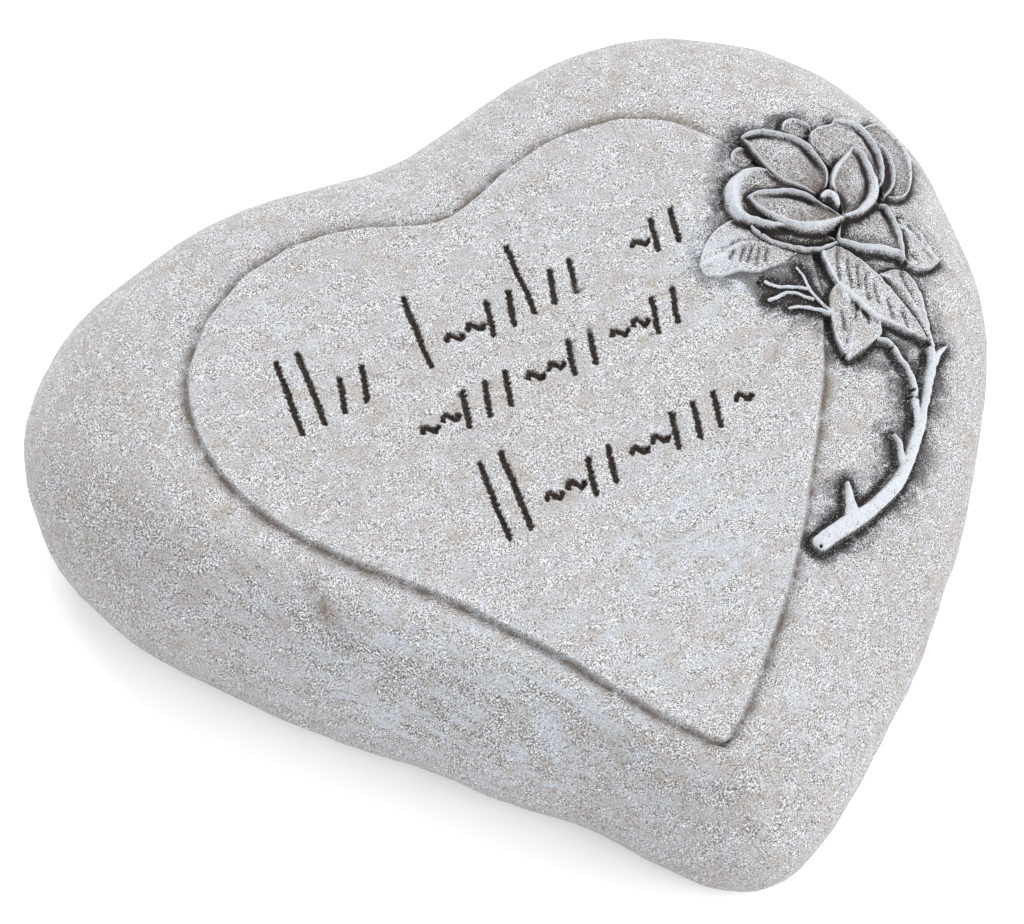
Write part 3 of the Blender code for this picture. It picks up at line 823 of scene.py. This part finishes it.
def lay_stem(cord, x, y, carving):
    """Lays a round stem over what is already carved."""
    both = np.hstack([np.array(cord.points, dtype=float), np.array(cord.radii)[:, None]])
    line = smooth_line(both)
    near = near_line(x, y, line[:, :2])
    away, radius = distance_to_line(x[near], y[near], line[:, :2], line[:, 2])
    edge_run = on_pattern(EDGE_RUN)
    crest = np.sqrt(np.clip(1.0 - (away / radius) ** 2, 0.0, 1.0))
    foot = smooth_rise((radius + edge_run - away) / edge_run)
    shaft = RELIEF_LAYER * (cord.lift * foot + cord.rise * crest)
    under = carving.height[near]
    above = (away < radius + edge_run) & (shaft >= under)
    carving.height[near] = np.where(above, shaft, under)
    # Painted shade, with soot, darkens the ground beside the stem, the more the higher the stem
    # stands over it
    drop = RELIEF_LAYER * (cord.lift + STEM_DROP_SHARE * cord.rise) - under
    drop += np.where(carving.nearest[near] > 0.0, PLAIN_GROUND_DROP * RELIEF_LAYER, 0.0)
    dirt = np.maximum(carving.dirt[near], soot_and_shade_beside(away - radius - edge_run, drop))
    worn = carving.worn[near] * (1.0 - dirt)
    # On the stem, painted shade with soot darkens its sides, away from the crest
    carving.dirt[near] = np.where(above, STEM_FOOT_SOOT_AND_SHADE * (1.0 - crest), dirt)
    carving.worn[near] = np.where(above, smooth_rise(CREST_WORN * crest), worn)
    carving.nearest[near] = np.minimum(carving.nearest[near], away - radius)


def mark_lines():
    """The strokes of the three rows, each a short line of points on the pattern."""
    step = on_pattern(MARK_STEP)
    tall = on_pattern(TALL_HEIGHT)
    short = on_pattern(MARK_HEIGHT)
    shapes = {
        "|": ((0.0, 0.0), (BAR_LEAN * tall, tall)),
        "/": ((0.0, 0.0), (SLASH_LEAN * short, short)),
        "~": tuple(
            (
                short * (WAVE_START + WAVE_STEP * bend),
                short * (WAVE_MIDDLE + WAVE_SWING * math.sin(WAVE_TURN * bend)),
            )
            for bend in range(WAVE_POINTS)
        ),
    }
    lines = []
    for (start_x, start_y), climb, marks in MARK_ROWS:
        for index, mark in enumerate(marks):
            if mark in shapes:
                start = np.array([start_x + index * step, start_y + index * step * climb])
                lines.append(smooth_line(shapes[mark], steps=3) + start)
    return lines


def carve_panel(x, y):
    """The plain heart with its raised panel, which everything else is laid over."""
    panel = distance_inside(x, y, pattern_outline(panel_reach))
    edge_run = on_pattern(PANEL_EDGE_RUN)
    rise = smooth_rise(panel / edge_run + 0.5)
    cove = np.exp(-(np.minimum(panel, 0.0) / on_pattern(COVE_REACH)) ** 2) * (1.0 - rise)
    lip = np.exp(-((panel - 0.5 * edge_run) / on_pattern(LIP_WIDTH)) ** 2)
    return Carving(
        height=PANEL_STEP * rise - COVE_DEPTH * cove,
        nearest=np.full(x.shape, FAR_AWAY),
        # Soot and painted shade in the cove at the foot of the panel's step
        dirt=COVE_SOOT_AND_SHADE * cove,
        worn=LIP_WORN * lip,
        tan=np.exp(-(panel / on_pattern(TAN_REACH)) ** 2) * (1.0 - rise),
        panel=rise,
        ink=np.zeros(x.shape),
    )


def lay_spray(x, y, carving):
    """Lays the rose spray, browns the heart of its flower and sinks the ground beside it."""
    for form in BACK_PETALS:
        lay_form(form, petal_top, x, y, carving)
    for form in LEAVES:
        lay_form(form, leaf_top, x, y, carving)
    for cord in STEMS:
        lay_stem(cord, x, y, carving)
    for form in FRONT_PETALS:
        lay_form(form, petal_top, x, y, carving)
    lay_stem(BUD, x, y, carving)
    from_heart = np.hypot(x - FLOWER_HEART[0], y - FLOWER_HEART[1])
    brown = np.exp(-(from_heart / FLOWER_REACH) ** 2) * (carving.nearest < 0.0)
    carving.tan[:] = np.maximum(carving.tan, brown * (1.0 - carving.worn))
    outside = carving.nearest > 0.0
    beside = np.exp(-(np.maximum(carving.nearest, 0.0) / on_pattern(GROOVE_REACH)) ** 2)
    carving.height[outside] -= RELIEF_GROOVE * beside[outside]


def press_marks(x, y, ragged, carving):
    """Presses the rows of strokes into the panel, as wide as their ragged edges say."""
    half = on_pattern(STROKE_WIDTH) / 2.0 * ragged
    for line in mark_lines():
        near = near_line(x, y, line)
        away, _ = distance_to_line(x[near], y[near], line)
        depth = np.clip(1.0 - (away / half[near]) ** 2, 0.0, 1.0)
        carving.height[near] -= STROKE_DEPTH * depth
        carving.ink[near] = np.maximum(carving.ink[near], smooth_rise(STROKE_INK * depth))


def add_faults(x, y, carving):
    """Adds the air holes of the casting and its scratches."""
    for hole_x, hole_y, radius in AIR_HOLES:
        depth = np.clip(1.0 - (np.hypot(x - hole_x, y - hole_y) / radius) ** 2, 0.0, 1.0)
        carving.height[:] -= AIR_HOLE_DEPTH * smooth_rise(HOLE_STEEPNESS * depth)
        carving.ink[:] = np.maximum(carving.ink, smooth_rise(HOLE_INK * depth))
    for points, scratch_half, scratch_depth in SCRATCHES:
        line = smooth_line(points)
        near = near_line(x, y, line)
        away, _ = distance_to_line(x[near], y[near], line)
        pressed = np.exp(-(away / on_pattern(scratch_half)) ** 2)
        carving.height[near] -= scratch_depth * pressed
        carving.tan[near] = np.maximum(carving.tan[near], SCRATCH_TAN * pressed ** 3)


def carve(x, y):
    """All that is carved on the plain heart: heights in metres, and shares of soot with painted
    shade, and of wear.
    """
    places = np.stack([x, y], axis=1)
    wander = on_pattern(WANDER)
    x = x + wander * ripple(places, on_pattern(WANDER_SIZE), seed=3)
    y = y + wander * ripple(places, on_pattern(WANDER_SIZE), seed=4)
    ragged = 1.0 + STROKE_RAGGED * ripple(places, on_pattern(STROKE_RAGGED_SIZE), seed=5)
    carving = carve_panel(x, y)
    lay_spray(x, y, carving)
    press_marks(x, y, ragged, carving)
    add_faults(x, y, carving)
    return carving


def plain_heart(turn, latitude):
    """The heart without its carving: x and y on the pattern, and height in metres."""
    rim = rim_reach(turn)
    panel = panel_reach(turn)
    shoulder = rim + (panel - rim) * SHOULDER_SHARE
    foot = rim - on_pattern(FOOT_INSET)
    reach = foot * (latitude + 90.0) / (FOOT_LATITUDE + 90.0)
    lift = np.full(turn.shape, -FOOT_DRAFT_HEIGHT)
    roll = np.clip((latitude - FOOT_LATITUDE) / (RIM_LATITUDE - FOOT_LATITUDE), 0.0, 1.0)
    angle = roll * math.pi / 2.0
    on_roll = latitude > FOOT_LATITUDE
    reach = np.where(on_roll, foot + (rim - foot) * np.sin(angle), reach)
    lift = np.where(
        on_roll, lift + (RIM_HEIGHT + FOOT_DRAFT_HEIGHT) * (1.0 - np.cos(angle)), lift
    )
    dome = np.clip((latitude - RIM_LATITUDE) / (SHOULDER_LATITUDE - RIM_LATITUDE), 0.0, 1.0)
    angle = dome * math.pi / 2.0
    on_dome = latitude > RIM_LATITUDE
    reach = np.where(on_dome, rim + (shoulder - rim) * (1.0 - np.cos(angle)), reach)
    shelf = (latitude - SHOULDER_LATITUDE) / (PANEL_LATITUDE - SHOULDER_LATITUDE)
    reach = np.where(shelf > 0.0, shoulder + (panel - shoulder) * shelf, reach)
    inward = np.clip((latitude - PANEL_LATITUDE) / (90.0 - PANEL_LATITUDE), 0.0, 1.0)
    reach = np.where(inward > 0.0, panel * (1.0 - inward), reach)
    x = reach * np.sin(turn)
    y = -reach * np.cos(turn)
    top = PANEL_HEIGHT + TOP_FALL * y * ALONG - RIM_HEIGHT
    lift = np.where(on_dome, RIM_HEIGHT + top * np.sin(angle), lift)
    lift = lift + PANEL_CROWN * (1.0 - (1.0 - inward) ** 2)
    return x, y, lift


def sphere_places(points):
    """Turn from the tip and latitude in degrees of points on the working sphere."""
    turn = np.arctan2(points[:, 0], -points[:, 1]) % (2.0 * math.pi)
    height = points[:, 2] / np.linalg.norm(points, axis=1)
    return turn, np.degrees(np.arcsin(np.clip(height, -1.0, 1.0)))


def carved_height(points):
    """Height of the carving at points on the working sphere, none below the rim."""
    turn, latitude = sphere_places(points)
    x, y, _ = plain_heart(turn, latitude)
    return carve(x, y).height * (latitude > RIM_LATITUDE)


def refined_sphere():
    """A sphere whose triangles are fine where the carving bends, and coarse elsewhere."""
    bm = bmesh.new()
    bmesh.ops.create_icosphere(bm, subdivisions=SPHERE_LEVELS, radius=1.0)
    for miss in MISS_ALLOWED:
        points = np.array([vert.co[:] for vert in bm.verts])
        ends = np.array([[vert.index for vert in edge.verts] for edge in bm.edges])
        height = carved_height(points)
        middle = carved_height((points[ends[:, 0]] + points[ends[:, 1]]) / 2.0)
        off = np.abs(middle - (height[ends[:, 0]] + height[ends[:, 1]]) / 2.0) > miss
        bm.edges.index_update()
        split = set()
        for face in bm.faces:
            if any(off[edge.index] for edge in face.edges):
                split.update(face.edges)
        bmesh.ops.subdivide_edges(bm, edges=list(split), cuts=1)
        bmesh.ops.triangulate(bm, faces=[face for face in bm.faces if len(face.verts) > 3])
        bm.verts.index_update()
    return bm


def read_points(mesh):
    """The places of a mesh's points, in rows."""
    points = np.empty(len(mesh.vertices) * 3)
    mesh.vertices.foreach_get("co", points)
    return points.reshape(-1, 3)


def read_normals(mesh):
    """The ways that a mesh's points face, in rows."""
    normals = np.empty(len(mesh.vertices) * 3)
    mesh.vertex_normals.foreach_get("vector", normals)
    return normals.reshape(-1, 3)


def keep_share(mesh, name, values):
    """Keeps a share from 0 to 1 at each point, for the finish to read."""
    layer = mesh.attributes.new(name, "FLOAT", "POINT")
    layer.data.foreach_set("value", np.clip(values, 0.0, 1.0).astype(np.float32))


def wash_and_shade_weight(x, y):
    """How thick the grey wash and painted shadow beside the spray lie, from place to place."""
    weight = np.full(x.shape, WASH_AND_SHADE_BASE)
    for spot_x, spot_y, reach, share in WASH_AND_SHADE_SPOTS:
        weight += share * np.exp(-((x - spot_x) ** 2 + (y - spot_y) ** 2) / reach ** 2)
    return weight


def chalk_weight(points):
    """How much chalk the brush left, from place to place."""
    weight = np.full(len(points), CHALK_BASE)
    for spot_x, spot_y, spot_z, reach, share in CHALK_SPOTS:
        away = np.sum((points - np.array([spot_x, spot_y, spot_z])) ** 2, axis=1)
        weight += share * np.exp(-away / reach ** 2)
    return weight


def carved_heart_mesh():
    """The stone as one fine closed mesh that keeps the shares of its finish, painted shade among
    them, at each point.
    """
    bm = refined_sphere()
    mesh = bpy.data.meshes.new("cast_heart")
    bm.to_mesh(mesh)
    bm.free()
    turn, latitude = sphere_places(read_points(mesh))
    x, y, lift = plain_heart(turn, latitude)
    middle = PATTERN_MIDDLE
    plain = np.stack([(x - middle[0]) * ACROSS, (y - middle[1]) * ALONG, lift], axis=1)
    mesh.vertices.foreach_set("co", plain.ravel())
    mesh.update()
    carving = carve(x, y)
    above = (latitude > RIM_LATITUDE).astype(float)
    height = carving.height * above
    height += ROLL_HEIGHT * ripple(plain, ROLL_SIZE, seed=11)
    height += DENT_HEIGHT * ripple(plain, DENT_SIZE, seed=12)
    near_spray = carving.nearest < ROUGH_ROUND_SPRAY
    height += ROUGH_HEIGHT * ripple(plain, ROUGH_SIZE, seed=13) * near_spray
    carved = plain + read_normals(mesh) * height[:, None]
    mesh.vertices.foreach_set("co", carved.ravel())
    mesh.update()
    # Soot with painted shade at the feet of forms, in hollows and in grooves
    keep_share(mesh, "dirt", carving.dirt * above)
    keep_share(mesh, "worn", carving.worn * above)
    keep_share(mesh, "ink", carving.ink * above)
    # The grey wash round the spray, partly painted shadow, thicker at its spots
    beside = np.exp(-(carving.nearest / on_pattern(HALO_REACH)) ** 2)
    keep_share(mesh, "halo", beside * (carving.nearest > 0.0) * above * wash_and_shade_weight(x, y))
    keep_share(mesh, "tan", carving.tan * above)
    keep_share(mesh, "panel", carving.panel * above)
    # Sides that face away from the lamps get dark pits painted in as shade
    smooth = read_normals(mesh) @ LAMP_WAY
    keep_share(mesh, "shaded_side", smooth_rise(SHADED_SIDE_BASE - SHADED_SIDE_TURN * smooth))
    keep_share(mesh, "chalk", chalk_weight(carved))
    return mesh


def trim_underside(mesh):
    """Cuts the underside flat on the ground and closes it."""
    bm = bmesh.new()
    bm.from_mesh(mesh)
    everything = bm.verts[:] + bm.edges[:] + bm.faces[:]
    bmesh.ops.bisect_plane(
        bm, geom=everything, plane_co=(0.0, 0.0, 0.0), plane_no=(0.0, 0.0, 1.0), clear_inner=True
    )
    border = [edge for edge in bm.edges if edge.is_boundary]
    bmesh.ops.holes_fill(bm, edges=border, sides=0)
    bmesh.ops.recalc_face_normals(bm, faces=bm.faces)
    bm.to_mesh(mesh)
    bm.free()


def display(colour):
    """A colour as a screen shows it, in 0 to 255, made ready for a shader."""
    values = []
    for value in colour:
        value = value / 255.0
        values.append(value / 12.92 if value <= 0.04045 else ((value + 0.055) / 1.055) ** 2.4)
    return (*values, 1.0)


def put(tree, kind, inputs=None, **settings):
    """Adds a node, sets it up, and gives its sockets values or links."""
    node = tree.nodes.new(kind)
    for name, value in settings.items():
        setattr(node, name, value)
    for name, value in (inputs or {}).items():
        if isinstance(value, bpy.types.NodeSocket):
            tree.links.new(value, node.inputs[name])
        else:
            node.inputs[name].default_value = value
    return node


def calc(tree, operation, first, second=0.0):
    """One step of arithmetic, kept between 0 and 1."""
    return put(
        tree, "ShaderNodeMath", {0: first, 1: second}, operation=operation, use_clamp=True
    ).outputs[0]


def times(tree, first, second):
    """The product of two shares."""
    return calc(tree, "MULTIPLY", first, second)


def window(tree, value, low, high):
    """0 at the low value, 1 at the high one, soft between."""
    node = put(
        tree,
        "ShaderNodeMapRange",
        {"Value": value, "From Min": low, "From Max": high},
        interpolation_type="SMOOTHSTEP",
    )
    return node.outputs["Result"]


def paint(tree, under, over, share):
    """Lays one colour over another by a share."""
    node = put(tree, "ShaderNodeMix", {0: share, 6: under, 7: over}, data_type="RGBA")
    return node.outputs[2]


def grain(tree, where, size, detail=2.0, rough=0.5):
    """Noise whose bumps are about the given size in metres."""
    return put(
        tree,
        "ShaderNodeTexNoise",
        {"Vector": where, "Scale": 1.0 / size, "Detail": detail, "Roughness": rough},
    ).outputs["Fac"]


def share_of(tree, name):
    """A share that the mesh keeps at each point."""
    return put(tree, "ShaderNodeAttribute", attribute_name=name).outputs["Fac"]


# The finish: how large its grains are in metres, how a streak is drawn out, and how deep the
# grain stands
SAND_SIZE = 0.00024
SPECK_SIZE = 0.00036
LUMP_SIZE = 0.0014
CLOUD_SIZE = 0.0042
STREAK_SIZE = 0.0030
STREAK_STRETCH = (3.2, 0.8, 0.8)
GRAIN_DEPTH = 0.00022

# Its colours as a screen shows them, in 0 to 255
SAND_SHADE = (98, 95, 92)
SAND_PALE = (219, 219, 221)
# Dark pits, painted as shade on the sides away from the lamps
SHADE_PIT = (84, 80, 77)
GLINT = (250, 251, 253)
WARM_STONE = (156, 144, 131)
CHALK = (200, 208, 221)
BROWN_WASH = (96, 80, 68)
# The grey wash round the spray, partly painted shadow
GREY_WASH_AND_SHADE = (66, 66, 69)
# Soot, partly painted shade at the feet of forms and in hollows
SOOT_AND_PAINTED_SHADE = (46, 42, 41)
# Painted glints inside the grey wash
GLINT_IN_WASH = (178, 184, 194)
WORN_EDGE = (206, 211, 219)
FILLED_DARK = (46, 40, 38)
FILLED_DUSTY = (112, 98, 86)

# How fully each is laid on
SHADE_PIT_SHARE = 0.85
WARM_SHARE = 0.56
BROWN_SHARE = 0.92
WASH_AND_SHADE_SHARE = 0.84
GLINT_IN_WASH_SHARE = 0.7
WORN_SHARE = 0.84

Grains = namedtuple("Grains", "sand specks cloud lumps glints")


def streak(tree, where, turn):
    """Noise drawn out along the way that a brush went, at a turn from +X in degrees."""
    brushed = put(
        tree,
        "ShaderNodeMapping",
        {
            "Vector": where,
            "Rotation": (0.0, 0.0, math.radians(turn)),
            "Scale": STREAK_STRETCH,
        },
        vector_type="TEXTURE",
    ).outputs["Vector"]
    return grain(tree, brushed, STREAK_SIZE, detail=5.0, rough=0.7)


def stone_grains(tree, where):
    """The noises that the whole finish shares."""
    specks = grain(tree, where, SPECK_SIZE, detail=1.0)
    return Grains(
        sand=grain(tree, where, SAND_SIZE, detail=3.0, rough=0.60),
        specks=specks,
        cloud=grain(tree, where, CLOUD_SIZE, detail=5.0, rough=0.65),
        lumps=grain(tree, where, LUMP_SIZE, detail=2.0),
        glints=window(tree, specks, 0.62, 0.70),
    )


def bare_stone(tree, grains):
    """Sandy grey stone, with dark pits painted as shade on the sides that face away from the
    lamps, and glints.
    """
    pale = window(tree, grains.sand, 0.42, 0.57)
    stone = paint(tree, display(SAND_SHADE), display(SAND_PALE), pale)
    shade_pits = times(tree, window(tree, grains.specks, 0.46, 0.35), share_of(tree, "shaded_side"))
    stone = paint(tree, stone, display(SHADE_PIT), times(tree, shade_pits, SHADE_PIT_SHARE))
    return paint(tree, stone, display(GLINT), grains.glints)


def brushed_stone(tree, where, grains, stone):
    """Lays warm patches, streaks of chalk and the brown wash over the stone."""
    streaks = paint(
        tree,
        streak(tree, where, SIDE_BRUSHING),
        streak(tree, where, PANEL_BRUSHING),
        share_of(tree, "panel"),
    )
    drifts = paint(tree, grains.cloud, streaks, 0.5)
    warm = times(tree, window(tree, drifts, 0.47, 0.57), WARM_SHARE)
    stone = paint(tree, stone, display(WARM_STONE), warm)
    chalk = times(tree, share_of(tree, "chalk"), window(tree, streaks, 0.42, 0.62))
    chalk = times(tree, chalk, window(tree, grains.sand, 0.30, 0.56))
    stone = paint(tree, stone, display(CHALK), chalk)
    brown = times(tree, share_of(tree, "tan"), window(tree, grains.cloud, 0.30, 0.56))
    brown = times(tree, brown, window(tree, grains.lumps, 0.10, 0.50))
    return paint(tree, stone, display(BROWN_WASH), times(tree, brown, BROWN_SHARE))


def sooted_and_shaded_stone(tree, grains, stone):
    """Lays the grey wash round the spray, partly painted shadow, then soot with painted shade at
    the feet of forms and in hollows, and painted glints in the wash.
    """
    uneven = window(tree, grains.sand, 0.36, 0.64)
    halo = share_of(tree, "halo")
    # The grey wash, partly painted shadow, round the spray
    wash_and_shade = times(tree, halo, window(tree, grains.cloud, 0.20, 0.58))
    wash_and_shade = calc(tree, "SUBTRACT", wash_and_shade, times(tree, uneven, 0.28))
    wash_and_shade = times(tree, window(tree, wash_and_shade, 0.0, 0.50), WASH_AND_SHADE_SHARE)
    stone = paint(tree, stone, display(GREY_WASH_AND_SHADE), wash_and_shade)
    # Soot with painted shade at the feet of forms and in hollows
    soot_and_shade_mask = calc(tree, "SUBTRACT", share_of(tree, "dirt"), times(tree, uneven, 0.34))
    stone = paint(tree, stone, display(SOOT_AND_PAINTED_SHADE), window(tree, soot_and_shade_mask, 0.0, 0.60))
    # Painted glints again, inside the grey wash
    wash_glints = times(tree, times(tree, grains.glints, GLINT_IN_WASH_SHARE), halo)
    return paint(tree, stone, display(GLINT_IN_WASH), wash_glints)


def worn_stone(tree, grains, stone):
    """Rubs the raised edges pale, and fills the strokes and air holes dark."""
    worn = times(tree, share_of(tree, "worn"), window(tree, grains.sand, 0.20, 0.50))
    worn = times(tree, worn, window(tree, grains.lumps, 0.16, 0.46))
    worn = times(tree, window(tree, worn, 0.14, 0.80), WORN_SHARE)
    stone = paint(tree, stone, display(WORN_EDGE), worn)
    dusty = window(tree, grains.sand, 0.52, 0.66)
    filled = paint(tree, display(FILLED_DARK), display(FILLED_DUSTY), dusty)
    return paint(tree, stone, filled, share_of(tree, "ink"))


def cast_stone_finish():
    """Sandy grey stone, brushed with pale chalk, sooted and darkened with painted shade round the
    rose, with dark pits painted as shade on its sides away from the lamps, and worn on its edges.
    """
    material = bpy.data.materials.new("cast_stone_finish")
    material.use_nodes = True
    tree = material.node_tree
    shader = tree.nodes["Principled BSDF"]
    where = put(tree, "ShaderNodeTexCoord").outputs["Object"]
    grains = stone_grains(tree, where)
    stone = bare_stone(tree, grains)
    stone = brushed_stone(tree, where, grains, stone)
    stone = sooted_and_shaded_stone(tree, grains, stone)
    stone = worn_stone(tree, grains, stone)
    tree.links.new(stone, shader.inputs["Base Color"])
    shader.inputs["Roughness"].default_value = 0.9
    shader.inputs["Specular IOR Level"].default_value = 0.25
    relief = calc(tree, "ADD", times(tree, grains.sand, 0.7), times(tree, grains.lumps, 0.5))
    bump = put(
        tree, "ShaderNodeBump", {"Height": relief, "Distance": GRAIN_DEPTH, "Strength": 1.0}
    )
    tree.links.new(bump.outputs["Normal"], shader.inputs["Normal"])
    return material


def add_object(name, data):
    """An object in the scene, at the origin, made of the given data."""
    thing = bpy.data.objects.new(name, data)
    bpy.context.scene.collection.objects.link(thing)
    return thing


def make_heart():
    """The stone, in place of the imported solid."""
    mesh = carved_heart_mesh()
    trim_underside(mesh)
    mesh.shade_smooth()
    mesh.materials.append(cast_stone_finish())
    heart = add_object("carved_heart", mesh)
    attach(heart, "root")
    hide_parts("heart_stone")


# The floor: its size in metres, its colour, and how much it glows, so that it shows white
FLOOR_SIZE = 4.0
FLOOR_COLOUR = (0.93, 0.93, 0.93, 1.0)
FLOOR_GLOW = 0.18


def make_floor():
    """A plain pale floor, which isn't part of the object."""
    bm = bmesh.new()
    bmesh.ops.create_grid(bm, x_segments=1, y_segments=1, size=FLOOR_SIZE / 2.0)
    mesh = bpy.data.meshes.new("studio_floor")
    bm.to_mesh(mesh)
    bm.free()
    material = bpy.data.materials.new("pale_floor")
    material.use_nodes = True
    shader = material.node_tree.nodes["Principled BSDF"]
    shader.inputs["Base Color"].default_value = FLOOR_COLOUR
    shader.inputs["Emission Color"].default_value = (1.0, 1.0, 1.0, 1.0)
    shader.inputs["Emission Strength"].default_value = FLOOR_GLOW
    shader.inputs["Roughness"].default_value = 0.9
    shader.inputs["Specular IOR Level"].default_value = 0.0
    mesh.materials.append(material)
    floor = add_object("studio_floor", mesh)


# Light: a white room with three soft lamps, each with its place and power
ROOM_STRENGTH = 0.70
LAMPS = {
    "back_lamp": (Vector((0.20, 1.25, 1.00)), 16.0),
    "front_lamp": (Vector((0.85, -0.90, 0.75)), 14.2),
    "left_lamp": (Vector((-1.25, 0.00, 0.80)), 4.0),
}
LAMP_SIZE = 1.1
LAMP_AIM = Vector((0.0, 0.0, 0.02))


def add_lamp(name, place, power):
    """A round lamp at a place, turned to the stone."""
    lamp = bpy.data.lights.new(name, "AREA")
    lamp.shape = "DISK"
    lamp.size = LAMP_SIZE
    lamp.energy = power
    holder = add_object(name, lamp)
    turn = (LAMP_AIM - place).to_track_quat("-Z", "Y").to_matrix().to_4x4()
    holder.matrix_world = Matrix.Translation(place) @ turn


def make_light():
    """The white room and its lamps."""
    world = bpy.data.worlds.new("white_room")
    world.use_nodes = True
    sky = world.node_tree.nodes["Background"]
    sky.inputs["Color"].default_value = (1.0, 1.0, 1.0, 1.0)
    sky.inputs["Strength"].default_value = ROOM_STRENGTH
    bpy.context.scene.world = world
    for name, (place, power) in LAMPS.items():
        add_lamp(name, place, power)


# The photograph's view: what the camera looks at, from how far, and its lens in millimetres
VIEW_AIM = Vector((-0.00963, 0.00754, 0.0250))
VIEW_AWAY = 0.700
VIEW_ELEVATION = math.radians(58.40)
VIEW_HEADING = math.radians(24.589)
VIEW_ROLL = math.radians(1.195)
VIEW_LENS = 127.47


def make_camera():
    """The camera, where the photograph was taken from."""
    camera = bpy.data.cameras.new("photo_view")
    camera.lens = VIEW_LENS
    camera.sensor_width = 36.0
    camera.clip_start = 0.01
    camera.clip_end = 10.0
    right = Vector((math.cos(VIEW_HEADING), -math.sin(VIEW_HEADING), 0.0))
    look = Vector((
        math.sin(VIEW_HEADING) * math.cos(VIEW_ELEVATION),
        math.cos(VIEW_HEADING) * math.cos(VIEW_ELEVATION),
        -math.sin(VIEW_ELEVATION),
    ))
    up = right.cross(look)
    rolled_right = right * math.cos(VIEW_ROLL) - up * math.sin(VIEW_ROLL)
    rolled_up = right * math.sin(VIEW_ROLL) + up * math.cos(VIEW_ROLL)
    turn = Matrix((rolled_right, rolled_up, -look)).transposed().to_4x4()
    holder = add_object("photo_view", camera)
    holder.matrix_world = Matrix.Translation(VIEW_AIM - look * VIEW_AWAY) @ turn
    bpy.context.scene.camera = holder


make_heart()
make_floor()
make_light()
make_camera()
bpy.context.scene.view_settings.view_transform = "Standard"
